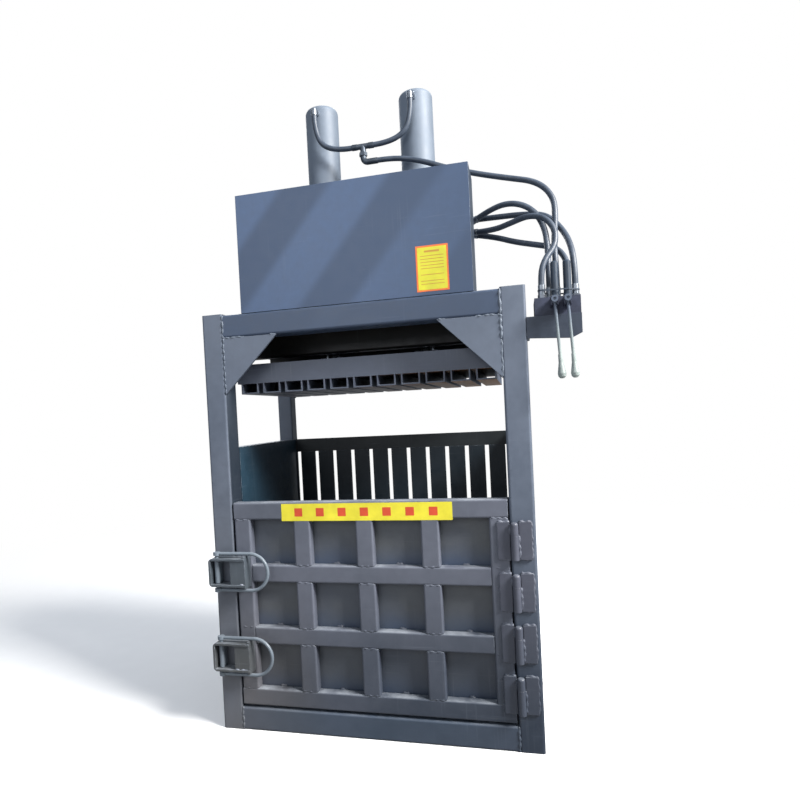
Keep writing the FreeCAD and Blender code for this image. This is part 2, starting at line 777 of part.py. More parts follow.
# ------------------------------------------------------------------- the hinges
PIN_REACH = 28.0            # of the hinge pin, into the door's knuckle
DOME_RADIUS = 9.0

hinge_x = post_face + s.hinge_inset
hinge_y = front - s.hinge_setout
knuckle_radius = s.knuckle_diameter / 2
hinge_pin_radius = s.hinge_pin_diameter / 2


def hinges():
    """Lift-off hinges: the door's short knuckle sits on the post's long one."""
    leaf_gap = knuckle_radius + 2
    leaf_y = (front - s.hinge_leaf_thickness, front)
    post_leaves = []
    door_leaves = []
    pins = []
    for count in range(HINGE_COUNT):
        middle = s.hinge_lowest + count * s.hinge_pitch
        low, high = middle - s.hinge_height / 2, middle + s.hinge_height / 2
        split = high - s.knuckle_split
        bore = hinge_pin_radius + s.running_clearance
        long_knuckle = round_bar(f"post_knuckle_{count}", (hinge_x, hinge_y, low), knuckle_radius,
                                 split - low)
        leaf = block(f"post_leaf_{count}", (hinge_x + leaf_gap, hinge_x + leaf_gap + s.hinge_leaf_width),
                     leaf_y, (low, high))
        web = block(f"post_web_{count}", (hinge_x, hinge_x + leaf_gap), leaf_y, (low, split))
        hole = round_bar(f"post_knuckle_bore_{count}", (hinge_x, hinge_y, low), bore, split - low)
        post_leaves.append(cut(f"hinge_post_leaf_{count}",
                               fuse(f"post_leaf_whole_{count}", long_knuckle, leaf, web), hole))
        blank = round_bar(f"door_knuckle_blank_{count}", (hinge_x, hinge_y, split + 0.5), knuckle_radius,
                          high - split - 0.5)
        dome = doc.addObject("Part::Fillet", f"door_knuckle_{count}")
        dome.Base = blank
        dome.Edges = [(TOP_RIM[0], DOME_RADIUS, DOME_RADIUS)]
        leaf = block(f"door_leaf_{count}", (hinge_x - leaf_gap - s.hinge_leaf_width, hinge_x - leaf_gap),
                     leaf_y, (low, high))
        web = block(f"door_web_{count}", (hinge_x - leaf_gap, hinge_x), leaf_y,
                    (split + 0.5, high - DOME_RADIUS))
        hole = round_bar(f"door_knuckle_bore_{count}", (hinge_x, hinge_y, split), bore, PIN_REACH + 1)
        door_leaves.append(cut(f"hinge_door_leaf_{count}",
                               fuse(f"door_leaf_whole_{count}", dome, leaf, web), hole))
        pins.append(round_bar(f"hinge_pin_{count}", (hinge_x, hinge_y, low), hinge_pin_radius,
                              split - low + PIN_REACH))
    node("hinge_post_leaves", *post_leaves)
    node("hinge_door_leaves", *door_leaves)
    node("hinge_pins", *pins)


# ------------------------------------------------------------------ the latches
STRAP_OVER_POST = 3.0       # the strap stands this far off the post
STRAP_BEND = 14.0
STRAP_END = 8.0             # the plate that closes the strap's open end
STRAP_END_INSET = 2.5       # between this plate and the handle's arms
STRAP_COVER = (52.0, 6.0)   # reach and thickness of the plate over the gap
STRAP_COVER_INSET = 4.0     # behind the strap's front edge
CAM_HUB = 9.5
CAM_LEG = (-3.0, 9.0)       # across the pin
CAM_TOE = -11.0
CAM_DEPTH = (20.0, 28.0)    # behind the pin, from the toe's face to its back
KEEPER_LEG = (-16.5, -11.5)
KEEPER_LIP = (-4.0, 10.0, 19.0)
EYE_RADIUS = 13.0

latch_x = -half + s.latch_pin_inset
latch_y = front - s.latch_pin_setout


def latch_straps():
    """A bent strap is welded to the door and reaches over the post; plates box in its door end."""
    straps = []
    left, right = -half, -half + s.latch_strap_reach
    rise, thick = s.latch_strap_height / 2, s.latch_strap_thickness
    end_rise = s.handle_height / 2 - s.handle_bar / 2 - STRAP_END_INSET
    rim = front - s.latch_strap_depth + STRAP_COVER_INSET
    reach, cover = STRAP_COVER
    for count, height in enumerate((s.latch_low, s.latch_high)):
        corners = [(right, height + rise), (left, height + rise), (left, height - rise),
                   (right, height - rise), (right, height - rise + thick),
                   (left + thick, height - rise + thick), (left + thick, height + rise - thick),
                   (right, height + rise - thick)]
        strap = padded(f"latch_strap_{count}", "y", corners, (front - s.latch_strap_depth, front))
        outer_x = left.value

        def outer_corner(edge):
            along_y = isinstance(edge.Curve, Part.Line) and abs(edge.tangentAt(0).y) > 0.99
            return along_y and abs(edge.CenterOfMass.x - outer_x) < 0.01

        rounded_body(strap, STRAP_BEND, outer_corner)
        relief = block(f"strap_relief_{count}", (left, -door_half), (front - STRAP_OVER_POST, front),
                       (height - rise, height + rise))
        hole = round_bar(f"strap_bore_{count}", (latch_x, latch_y, height - rise),
                         s.latch_pin_diameter / 2 + s.running_clearance, s.latch_strap_height)
        bent = cut(f"strap_bent_{count}", strap, relief, hole)
        end = block(f"strap_end_{count}", (right - STRAP_END, right), (rim, front),
                    (height - end_rise, height + end_rise))
        lid_right = right - STRAP_END
        lid = block(f"strap_lid_{count}", (lid_right - reach, lid_right), (rim, rim + cover),
                    (height - rise + thick, height + rise - thick))
        straps.append(fuse(f"strap_{count}", bent, end, lid))
    node("latch_straps", *straps)


def latch_keepers():
    """A hooked bar on each latch's post side; the cam's toe turns in behind its lip."""
    keepers = []
    lip, lip_front, lip_back = KEEPER_LIP
    rise = s.latch_strap_height / 2 - s.latch_strap_thickness - 7
    for count, height in enumerate((s.latch_low, s.latch_high)):
        corners = [(latch_x + KEEPER_LEG[0], front), (latch_x + KEEPER_LEG[0], latch_y + lip_front),
                   (latch_x + lip, latch_y + lip_front), (latch_x + lip, latch_y + lip_back),
                   (latch_x + KEEPER_LEG[1], latch_y + lip_back), (latch_x + KEEPER_LEG[1], front)]
        keepers.append(padded(f"latch_keeper_{count}", "z", corners, (height - rise, height + rise)))
    node("latch_keepers", *keepers)


def latch_handle(label, height):
    """A ring handle, its pin and the cam on the pin turn as one."""
    bar = s.handle_bar / 2
    rise = s.handle_height / 2
    bend_x = latch_x + s.handle_reach - rise
    pieces = []
    for count, sign in enumerate((-1, 1)):
        level = height + sign * rise
        pieces.append(round_bar(f"{label}_eye_{count}", (latch_x, latch_y, level - bar), EYE_RADIUS,
                                s.handle_bar))
        pieces.append(round_bar(f"{label}_arm_{count}", (latch_x, latch_y, level), bar,
                                bend_x - latch_x, "x"))
    bend = doc.addObject("Part::Torus", f"{label}_bend")
    bend.setExpression("Radius1", formula(rise))
    bend.setExpression("Radius2", formula(bar))
    bend.Angle3 = 180
    # the half ring is turned upright with its open side towards the pin
    place(bend, bend_x, latch_y, height, turn=Rotation(Vector(0, 1, 0), 90) * Rotation(Vector(1, 0, 0), 90)
          * Rotation(Vector(0, 0, 1), 0))
    pieces.append(bend)
    pieces.append(round_bar(f"{label}_pin", (latch_x, latch_y, height - rise - bar), s.latch_pin_diameter / 2,
                            s.handle_height + s.handle_bar))
    cam_rise = s.latch_strap_height / 2 - s.latch_strap_thickness - 3
    toe_face, toe_back = CAM_DEPTH
    corners = [(latch_x + CAM_LEG[0], latch_y), (latch_x + CAM_LEG[1], latch_y),
               (latch_x + CAM_LEG[1], latch_y + toe_back), (latch_x + CAM_TOE, latch_y + toe_back),
               (latch_x + CAM_TOE, latch_y + toe_face), (latch_x + CAM_LEG[0], latch_y + toe_face)]
    pieces.append(padded(f"{label}_cam", "z", corners, (height - cam_rise, height + cam_rise)))
    pieces.append(round_bar(f"{label}_hub", (latch_x, latch_y, height - cam_rise), CAM_HUB, 2 * cam_rise))
    node(label, fuse(f"{label}_whole", *pieces))


# --------------------------------------------------------------- the power unit
def oil_tank():
    """A welded sheet tank stands on the crown in front of the cylinders."""
    x = (-s.tank_left, s.tank_right)
    y = (front + s.tank_setback, front + s.tank_setback + s.tank_depth)
    z = (s.frame_height, s.frame_height + s.tank_height)
    wall = s.tank_wall
    outer = block("tank_skin", x, y, z)
    inner = block("tank_space", (x[0] + wall, x[1] - wall), (y[0] + wall, y[1] - wall),
                  (z[0] + wall, z[1] - wall))
    node("oil_tank", cut("oil_tank_shell", outer, inner))
    # filler cap on the lid, level glass and return port on the hidden back
    rim, lid = s.filler_radius, z[1] + s.filler_height
    neck = rim - 10
    cap = turned("filler_cap", [(0, z[1]), (neck, z[1]), (neck, z[1] + 6), (rim - 2, z[1] + 6),
                                (rim, z[1] + 10), (rim, lid - 5), (rim - 5, lid), (0, lid)],
                 at=(x[0] + s.filler_inset, y[1] - rim - 6, 0))
    glass_x = x[0] + s.filler_inset / 2
    low = z[0] + s.level_glass_rise
    gauge = block("level_glass", (glass_x - 16, glass_x + 16), (y[1], y[1] + 14),
                  (low, low + s.level_glass_height))
    drain = hexagon("drain_plug", (glass_x, y[1], z[0] + 40), 17, 14, "y")
    node("tank_fittings", cap, gauge, drain)


FOOT_SHARES = (0.18, 0.82)   # along the motor, to the middle of each foot
COWL_RINGS = (30, 56)
MOTOR_END = 22.0            # length of each end shield
BELL_WAIST = 0.58           # of the motor's radius
PORT_BOSS = 17.0

motor_x = -s.motor_left
motor_y = back - s.motor_from_back
motor_z = s.frame_height + s.motor_axis_height
motor_radius = s.motor_diameter / 2
bell_x = motor_x + s.motor_length
pump_x = bell_x + s.bell_length
pump_port_x = pump_x + s.pump_length / 2
pump_outlet_z = motor_z + s.pump_height / 2 + PORT_BOSS
pump_inlet_y = motor_y - s.pump_width / 2 - PORT_BOSS


def motor_unit():
    """Finned motor, bell housing and gear pump lie in line behind the cylinders."""
    core = motor_radius - s.motor_fin_height
    rim = motor_radius - 4
    length = s.motor_length
    body = turned("motor_core", [
        (0, 0), (rim, 0), (rim, MOTOR_END), (core, MOTOR_END + 4), (core, length - MOTOR_END - 4),
        (rim, length - MOTOR_END), (rim, length), (0, length),
    ], at=(motor_x, motor_y, motor_z), axis="x")
    fins = []
    for count in range(MOTOR_FINS):
        fin = doc.addObject("Part::Box", f"motor_fin_{count}")
        fin.setExpression("Length", formula(length - 2 * MOTOR_END))
        fin.Width = FIN_THICKNESS
        fin.setExpression("Height", formula(s.motor_fin_height + 6))
        turn = math.radians(count * 360.0 / MOTOR_FINS)
        root = core - 6
        across = -FIN_THICKNESS / 2
        fin.Placement = FreeCAD.Placement(Vector(), Rotation(Vector(1, 0, 0), math.degrees(turn)))
        place(fin, motor_x + MOTOR_END,
              motor_y + across * math.cos(turn) - root * math.sin(turn),
              motor_z + across * math.sin(turn) + root * math.cos(turn))
        fins.append(fin)
    box_z = motor_z + core - 8
    middle = motor_x + length / 2
    terminal = block("terminal_box", (middle - 48, middle + 48), (motor_y - 50, motor_y + 50),
                     (box_z, box_z + 66))
    feet = []
    for count, share in enumerate(FOOT_SHARES):
        low = motor_x + length * share - s.motor_foot_width / 2
        feet.append(block(f"motor_foot_{count}", (low, low + s.motor_foot_width),
                          (motor_y - motor_radius, motor_y + motor_radius),
                          (s.frame_height, motor_z - core + 12)))
    motor = fuse("motor_casting", body, terminal, *feet, *fins)
    depth = s.fan_cowl_length
    cowl = turned("fan_cowl_skin", [
        (0, 0), (motor_radius - 18, 0), (motor_radius, 16), (motor_radius, depth), (motor_radius - 3, depth),
        (motor_radius - 3, 18), (motor_radius - 20, 3), (0, 3),
    ], at=(motor_x - depth, motor_y, motor_z), axis="x")
    slots = []
    for ring, ring_radius in enumerate(COWL_RINGS):
        holes = 6 * (ring + 1)
        for count in range(holes):
            turn = 2 * math.pi * count / holes
            slots.append(round_bar(f"cowl_hole_{ring}_{count}",
                                   (motor_x - depth, motor_y + ring_radius * math.cos(turn),
                                    motor_z + ring_radius * math.sin(turn)), 8, 4, "x"))
    node("pump_motor", motor, cut("fan_cowl_drilled", cowl, *slots))
    waist = motor_radius * BELL_WAIST
    reach = s.bell_length
    bell = turned("bell_skin", [
        (0, 0), (motor_radius - 8, 0), (motor_radius - 8, 14), (waist, reach * 0.45), (waist, reach - 16),
        (waist + 16, reach - 12), (waist + 16, reach), (0, reach),
    ], at=(bell_x, motor_y, motor_z), axis="x")
    node("bell_housing", bell)
    wide, tall = s.pump_width / 2, s.pump_height / 2
    end = pump_x + s.pump_length
    pump = rounded_part(block("pump_block", (pump_x, end), (motor_y - wide, motor_y + wide),
                              (motor_z - tall, motor_z + tall)), "x", 22)
    cover = rounded_part(block("pump_cover", (end, end + s.pump_cover_length),
                               (motor_y - wide + 4, motor_y + wide - 4),
                               (motor_z - tall + 4, motor_z + tall - 4)), "x", 20)
    boss = round_bar("pump_outlet", (pump_port_x, motor_y, motor_z + tall - 2), PORT_BOSS, PORT_BOSS + 2)
    inlet = round_bar("pump_inlet", (pump_port_x, pump_inlet_y, motor_z), PORT_BOSS + 5, PORT_BOSS + 2, "y")
    node("gear_pump", fuse("gear_pump_casting", pump, cover, boss, inlet))


def rounded_part(blank, axis, radius):
    """Rounds the four edges of a block that run along an axis."""
    thing = doc.addObject("Part::Fillet", f"{blank.Label}_rounded")
    thing.Base = blank
    thing.Edges = [(edge, radius, radius) for edge in BOX_EDGES[axis]]
    return thing


# --------------------------------------------------------------- the hand valve
VALVE_X = (28.0, 176.0)     # from the post's outer face
VALVE_Y = (14.0, 146.0)     # behind the frame's front plane
CHEEK = (0.5, 5.5)          # beyond each side of a lever's eye
CHEEK_REACH = 18.0
CAP_SHIFT = 8.0             # of a spool's cap from its lever
CAP_RADIUS = 13.0
CAP_HEIGHT = 127.0

valve_top = valve_ledge + s.valve_height
lever_z = valve_ledge + 45
lever_y = front - s.lever_setout


def valve_bracket():
    """A folded shelf on the right post: its apron hangs in front, clipped at one corner."""
    low = valve_ledge - s.bracket_height
    far = half + s.bracket_reach
    apron = padded("bracket_apron", "y", [
        (half, low), (far - 34, low - 9), (far, low + 7), (far, valve_ledge), (half, valve_ledge),
    ], (front, front + s.bracket_sheet))
    shelf = block("bracket_shelf", (half, far), (front + s.bracket_sheet, front + VALVE_Y[1] + 4),
                  (valve_ledge - s.bracket_sheet, valve_ledge))
    arm = block("bracket_arm", (half, half + s.bracket_sheet),
                (front + s.bracket_sheet, front_post_back), (low, valve_ledge - s.bracket_sheet))
    node("valve_bracket", fuse("valve_bracket_fold", apron, shelf, arm))


def lever_spots():
    return [half + s.lever_first + count * s.lever_pitch for count in range(2)]


def valve_body():
    """Two-spool valve block; each lever hangs on a pin between two cheeks."""
    pieces = [block("valve_block", (half + VALVE_X[0], half + VALVE_X[1]),
                    (front + VALVE_Y[0], front + VALVE_Y[1]), (valve_ledge, valve_top))]
    caps = []
    eye_half = s.lever_eye_width / 2
    for count, x in enumerate(lever_spots()):
        for side in (-1, 1):
            cheek_x = sorted((x + side * (eye_half + CHEEK[0]), x + side * (eye_half + CHEEK[1])), key=number)
            pieces.append(block(f"cheek_{count}_{side}", cheek_x,
                                (lever_y - CHEEK_REACH / 2, front + VALVE_Y[0] + 1),
                                (lever_z - CHEEK_REACH, lever_z + CHEEK_REACH / 2)))
        pieces.append(round_bar(f"lever_pin_{count}", (x - eye_half - CHEEK[1], lever_y, lever_z),
                                s.lever_pin_diameter / 2, s.lever_eye_width + 2 * CHEEK[1], "x"))
        cap_x = x + CAP_SHIFT
        caps.append(turned(f"spool_cap_{count}", [
            (0, valve_top), (CAP_RADIUS + 2, valve_top), (CAP_RADIUS + 2, valve_top + 12),
            (CAP_RADIUS, valve_top + 14), (CAP_RADIUS, valve_top + CAP_HEIGHT - 5),
            (CAP_RADIUS - 5, valve_top + CAP_HEIGHT), (0, valve_top + CAP_HEIGHT),
        ], at=(cap_x, front + 60, 0)))
    node("valve_body", fuse("valve_casting", *pieces))
    node("spool_caps", *caps)


LEVER_LEAN = 3.2            # degrees, to the right at the knob
LEVER_RING = (5.0, 11.0)    # radii of the eye that faces the front
LEVER_RING_DEPTH = (12.2, 20.0)  # in front of the pin, clear of the cheeks
LEVER_RING_HOLE = 5.0       # how deep it is drilled
LEVER_ROD = 5.0
KNOB_LENGTH = 78.0
KNOB_RADIUS = 13.5


def valve_levers():
    """A lever is an eye on a thin rod; a pear-shaped knob is pressed on its end."""
    lean = Rotation(Vector(0, 1, 0), 180 - LEVER_LEAN)
    for side, x in zip(("left", "right"), lever_spots()):
        label = f"valve_lever_{side}"
        eye = round_bar(f"{label}_eye", (x - s.lever_eye_width / 2, lever_y, lever_z),
                        s.lever_eye_diameter / 2, s.lever_eye_width, "x")
        hole = round_bar(f"{label}_hole", (x - s.lever_eye_width / 2, lever_y, lever_z),
                         s.lever_pin_diameter / 2 + s.running_clearance, s.lever_eye_width, "x")
        ring = round_bar(f"{label}_ring", (x, lever_y - LEVER_RING_DEPTH[1], lever_z), LEVER_RING[1],
                         LEVER_RING_DEPTH[1] - LEVER_RING_DEPTH[0], "y")
        ring_hole = round_bar(f"{label}_ring_hole", (x, lever_y - LEVER_RING_DEPTH[1], lever_z),
                              LEVER_RING[0], LEVER_RING_HOLE, "y")
        rod_end = s.lever_drop - KNOB_LENGTH
        rod = turned(f"{label}_rod", [(0, 9), (LEVER_ROD, 9), (LEVER_ROD, rod_end), (0, rod_end)])
        place(rod, x, lever_y, lever_z, turn=lean)
        knob = turned(f"{label}_knob", [
            (0, rod_end), (LEVER_ROD + 1.5, rod_end), (LEVER_ROD + 2.5, rod_end + KNOB_LENGTH * 0.35),
            (KNOB_RADIUS * 0.82, rod_end + KNOB_LENGTH * 0.62), (KNOB_RADIUS, rod_end + KNOB_LENGTH * 0.8),
            (KNOB_RADIUS * 0.9, rod_end + KNOB_LENGTH * 0.92), (KNOB_RADIUS * 0.5, s.lever_drop),
            (0, s.lever_drop + 1),
        ])
        place(knob, x, lever_y, lever_z, turn=lean)
        lever = cut(f"{label}_drilled", fuse(f"{label}_blank", eye, rod, ring), hole, ring_hole)
        node(label, lever, knob)


# -------------------------------------------------------------- hoses and pipes
# Every route is a list of points chosen by hand: x, depth behind the front plane,
# and height above the crown.
HOSE_ROUTES = {
    "hose_cap_left": [(-206, 312, 842), (-206, 312, 750), (-140, 312, 684), (-50, 312, 684)],
    "hose_cap_right": [(195, 312, 842), (195, 312, 750), (129, 312, 684), (38, 312, 684)],
    "hose_cap_main": [(52, 312, 620), (125, 312, 620), (228, 300, 588), (340, 284, 534), (445, 262, 490),
                      (555, 238, 450), (662, 204, 410), (714, 176, 340), (716, 152, 257), (706, 134, 162),
                      (708, 108, 76), (708, 108, 4)],
    "hose_pressure": [(440, 262, 322), (505, 238, 350), (580, 212, 348), (645, 188, 305), (679, 164, 230),
                      (684, 132, 150), (682, 96, 76), (682, 96, 4)],
    "hose_return": [(440, 290, 326), (520, 270, 320), (612, 250, 312), (690, 222, 292), (738, 180, 224),
                    (760, 124, 154), (766, 80, 76), (766, 80, 4)],
    "hose_rod_left": [(438, 262, 270), (500, 233, 262), (565, 197, 271), (626, 160, 279), (680, 128, 255),
                      (710, 102, 203), (706, 82, 140), (670, 55, 94), (654, 44, 48), (654, 44, 4)],
    "hose_rod_right": [(436, 300, 268), (500, 284, 250), (572, 258, 216), (650, 226, 188), (716, 190, 162),
                       (746, 158, 112), (747, 130, 57), (747, 130, 4)],
}
ARC_SHARE = 0.45            # of the shorter run beside each turn
PIPE_REACH = 80.0           # straight run of a pipe before its ferrule
SUCTION_RADIUS = 17.0


def spot(point):
    return Vector(point[0], number(front) + point[1], number(s.frame_height) + point[2])


def ahead(points):
    """Unit vector from the first point of a route to its second."""
    return (spot(points[1]) - spot(points[0])).normalize()


def rounded_route(points, share=ARC_SHARE):
    """Straight runs joined by tangent arcs, each as large as its two runs allow."""
    spots = [spot(point) if not isinstance(point, Vector) else point for point in points]
    edges = []
    radii = []
    here = spots[0]
    for before, corner, after in zip(spots, spots[1:], spots[2:]):
        arrive = corner - before
        leave = after - corner
        turn = arrive.getAngle(leave)
        tangent = share * min(arrive.Length, leave.Length)
        radius = tangent / math.tan(turn / 2)
        arrive.normalize()
        leave.normalize()
        start = corner - arrive * tangent
        end = corner + leave * tangent
        inward = (leave - arrive).normalize()
        middle = corner + inward * (radius / math.cos(turn / 2) - radius)
        edges.append(Part.LineSegment(here, start).toShape())
        edges.append(Part.Arc(start, middle, end).toShape())
        radii.append(radius)
        here = end
    edges.append(Part.LineSegment(here, spots[-1]).toShape())
    return Part.Wire(edges), radii


def swept(label, points, radius):
    """A round tube along a route, checked against its section times its length."""
    path, radii = rounded_route(points)
    first = path.Edges[0]
    start = first.valueAt(first.FirstParameter)
    ring = Part.Wire([Part.Circle(start, first.tangentAt(first.FirstParameter), radius).toShape()])
    shape = path.makePipeShell([ring], True, False)
    share = shape.Volume / (math.pi * radius ** 2 * path.Length)
    if not 0.98 < share < 1.02:
        raise ValueError(f"{label}: the sweep lost its section ({share:.3f})")
    print(f"{label}: length {path.Length:.0f} mm, smallest radius {min(radii):.0f} mm")
    thing = doc.addObject("Part::Feature", label)
    thing.Shape = shape
    return thing


def hoses():
    for label, points in HOSE_ROUTES.items():
        node(label, swept(label, points, number(s.hose_diameter) / 2))


def aimed_bar(label, start, direction, radius, length):
    """A round bar from a point towards a direction."""
    thing = doc.addObject("Part::Cylinder", label)
    thing.setExpression("Radius", formula(radius))
    thing.setExpression("Height", formula(length))
    thing.Placement = FreeCAD.Placement(start, Rotation(Vector(0, 0, 1), direction))
    return thing


def hose_fittings():
    """Crimped ferrules close each hose; hex nuts join them to ports and pipes."""
    radius = s.ferrule_diameter / 2
    length = s.ferrule_length
    pieces = []
    for label in ("hose_pressure", "hose_return", "hose_rod_left", "hose_rod_right"):
        points = HOSE_ROUTES[label]
        start = spot(points[0]) - ahead(points) * number(length)
        pieces.append(aimed_bar(f"{label}_union", start, ahead(points), radius, length))
    nut = 15.0
    for label in ("hose_cap_main", "hose_pressure", "hose_return", "hose_rod_left", "hose_rod_right"):
        x, depth, rise = HOSE_ROUTES[label][-1]
        z = s.frame_height + rise
        base = hexagon(f"{label}_nut", (x, front + depth, valve_top), radius + 1, nut)
        sleeve = round_bar(f"{label}_ferrule", (x, front + depth, valve_top + nut), radius - 0.5,
                           z - valve_top - nut)
        pieces.append(fuse(f"{label}_valve_end", base, sleeve))
    port_face = cylinder_y - barrel_radius - PORT_STANDOUT
    port_z = cylinder_top - CAP_PORT_DROP
    for label, sign in (("hose_cap_left", -1), ("hose_cap_right", 1)):
        x, depth, rise = HOSE_ROUTES[label][0]
        z = s.frame_height + rise
        elbow = round_bar(f"{label}_elbow", (x, front + depth, z + 22), 11, port_z - z - 22 + 8)
        stub_end = front + depth - 8
        stub = round_bar(f"{label}_stub", (sign * cylinder_x, stub_end, port_z), 10,
                         port_face - stub_end, "y")
        sleeve = round_bar(f"{label}_sleeve", (x, front + depth, z), radius - 0.5, 22)
        pieces.append(fuse(f"{label}_port_end", elbow, stub, sleeve))
    node("hose_fittings", *pieces)


TEE_PIPE = 12.0
TEE_BEND = 18.0
TEE_NUT = (17.0, 14.0)      # radius over the corners, and height


def hose_tee():
    """The tee joins the two cap-side hoses and sends one down to the valve."""
    left = HOSE_ROUTES["hose_cap_left"][-1]
    right = HOSE_ROUTES["hose_cap_right"][-1]
    main = HOSE_ROUTES["hose_cap_main"][0]
    depth = front + left[1]
    middle = (left[0] + right[0]) / 2
    radius = s.ferrule_diameter / 2
    upper = s.frame_height + left[2]
    lower = s.frame_height + main[2]
    run = round_bar("tee_run", (left[0] + 20, depth, upper), 11, right[0] - left[0] - 40, "x")
    ends = [round_bar("tee_sleeve_left", (left[0], depth, upper), radius - 0.5, 20, "x"),
            round_bar("tee_sleeve_right", (right[0] - 20, depth, upper), radius - 0.5, 20, "x")]
    branch = round_bar("tee_branch", (middle, depth, lower + TEE_BEND), TEE_PIPE,
                       left[2] - main[2] - TEE_BEND)
    nut = hexagon("tee_nut", (middle, depth, lower + TEE_BEND + 6), *TEE_NUT)
    elbow = doc.addObject("Part::Torus", "tee_elbow")
    elbow.Radius1 = TEE_BEND
    elbow.Radius2 = TEE_PIPE
    elbow.Angle3 = 90
    # the quarter ring is turned upright, from under the branch to the outlet
    place(elbow, middle + TEE_BEND, depth, lower + TEE_BEND,
          turn=Rotation(Vector(1, 0, 0), 90) * Rotation(Vector(0, 0, 1), 180))
    outlet = round_bar("tee_outlet", (middle + TEE_BEND, depth, lower), TEE_PIPE,
                       main[0] - middle - TEE_BEND - 30, "x")
    sleeve = round_bar("tee_ferrule", (main[0] - 32, depth, lower), radius - 0.5, 32, "x")
    node("hose_tee", fuse("hose_tee_forging", run, *ends, branch, nut, elbow, outlet, sleeve))


def steel_pipes():
    """Rigid pipes behind the tank, from the ports to where the hoses begin."""
    crown_z = number(s.frame_height)
    tank_back = number(s.tank_setback + s.tank_depth)
    outlet = (number(pump_port_x), number(motor_y - front), number(pump_outlet_z) - crown_z)
    port_depth = number(s.cylinder_setback - barrel_radius) - PORT_STANDOUT
    side = number(cylinder_x)
    routes = {
        "hose_pressure": [outlet, (outlet[0], outlet[1], 365), (322, 480, 372)],
        "hose_return": [(285, tank_back, 352), (285, 262, 352)],
        "hose_rod_left": [(-side, port_depth, ROD_PORT_HEIGHT), (-side, 236, ROD_PORT_HEIGHT),
                          (60, 208, 150)],
        "hose_rod_right": [(side, port_depth, ROD_PORT_HEIGHT), (side, 236, ROD_PORT_HEIGHT),
                           (276, 256, 190)],
    }
    pieces = []
    for label, points in routes.items():
        hose = HOSE_ROUTES[label]
        end = spot(hose[0]) - ahead(hose) * number(s.ferrule_length)
        last = end - ahead(hose) * PIPE_REACH
        whole = [spot(point) for point in points] + [last, end]
        pieces.append(swept(f"{label}_pipe", whole, number(s.pipe_diameter) / 2))
    node("steel_pipes", *pieces)
    # suction pipe from the tank's back to the pump's inlet
    inlet_depth = number(pump_inlet_y - front)
    rise = number(s.motor_axis_height)
    whole = [spot(point) for point in (
        (30, tank_back, 60), (30, 330, 60), (outlet[0], inlet_depth - 90, rise),
        (outlet[0], inlet_depth, rise))]
    node("suction_pipe", swept("suction_pipe_tube", whole, SUCTION_RADIUS))


# --------------------------------------------------------------------- assembly
frame_posts()
top_beams()
base_beams()
gussets()
crown()
flange_bolts()
chamber_walls()
back_wall()
chamber_floor()
cylinders()
platen()
rods()
door()
door_stops()
hinges()
latch_straps()
latch_keepers()
latch_handle("latch_handle_low", s.latch_low)
latch_handle("latch_handle_high", s.latch_high)
oil_tank()
motor_unit()
valve_bracket()
valve_body()
valve_levers()
hoses()
hose_fittings()
hose_tee()
steel_pipes()
doc.recompute()

for thing in doc.Objects:
    if "Invalid" in thing.State or "Error" in thing.State:
        raise ValueError(f"{thing.Label} failed: {thing.State}")
for thing in NODES:
    if thing.Shape.isNull() or not thing.Shape.isValid() or not thing.Shape.Solids:
        raise ValueError(f"{thing.Label} has no valid solid")

os.makedirs("parts", exist_ok=True)
for thing in NODES:
    thing.Shape.exportStep(os.path.join("parts", f"{thing.Label}.step"))
print(f"{len(NODES)} sub-parts, {sum(len(thing.Shape.Solids) for thing in NODES)} solids")
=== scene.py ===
# %% [markdown]
# # Dressing a vertical baler
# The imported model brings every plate, tube and pin at its real size. This lesson
# gives them their paint, and adds what is too fine for a solid: rubber hoses with
# a smooth hang, weld beads, stickers and a cable tie.

import json
import math
import random

import bmesh
import bpy
from mathutils import Matrix, Vector


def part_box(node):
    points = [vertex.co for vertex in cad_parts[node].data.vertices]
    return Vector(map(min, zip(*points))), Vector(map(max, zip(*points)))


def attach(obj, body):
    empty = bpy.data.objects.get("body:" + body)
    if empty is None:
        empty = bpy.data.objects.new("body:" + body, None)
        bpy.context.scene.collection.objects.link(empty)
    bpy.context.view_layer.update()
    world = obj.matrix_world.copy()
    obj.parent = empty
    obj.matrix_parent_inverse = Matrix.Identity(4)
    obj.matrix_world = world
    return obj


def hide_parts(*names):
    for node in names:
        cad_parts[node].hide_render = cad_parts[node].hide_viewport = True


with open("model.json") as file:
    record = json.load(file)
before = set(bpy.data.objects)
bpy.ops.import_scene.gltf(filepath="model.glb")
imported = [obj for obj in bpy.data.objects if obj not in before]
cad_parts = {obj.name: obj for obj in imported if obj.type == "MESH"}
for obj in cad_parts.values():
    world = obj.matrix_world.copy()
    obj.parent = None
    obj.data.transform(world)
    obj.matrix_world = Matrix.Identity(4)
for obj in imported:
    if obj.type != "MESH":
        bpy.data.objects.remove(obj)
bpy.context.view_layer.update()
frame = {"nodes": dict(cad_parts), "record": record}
nodes = frame["nodes"]

# %% [markdown]
# The camera stands to the right of the machine at chest height and looks slightly
# left, so the right post shows its side. Its place comes from matching the edges of
# the frame, door and tank to the photograph. A small roll keeps the lean of the
# hand-held shot, and the lens shift only puts the middle of the picture where it was.

# %% camera
CAMERA_AT = Vector((0.5704, -2.5176, 1.1801))
CAMERA_YAW = 0.2495
CAMERA_PITCH = -0.0207
CAMERA_ROLL = 0.0505
FOCAL_PIXELS = 612.0
PHOTO_PIXELS = 800.0
OPTICAL_CENTRE = (366.3, 428.5)
SENSOR_WIDTH = 36.0         # millimetres

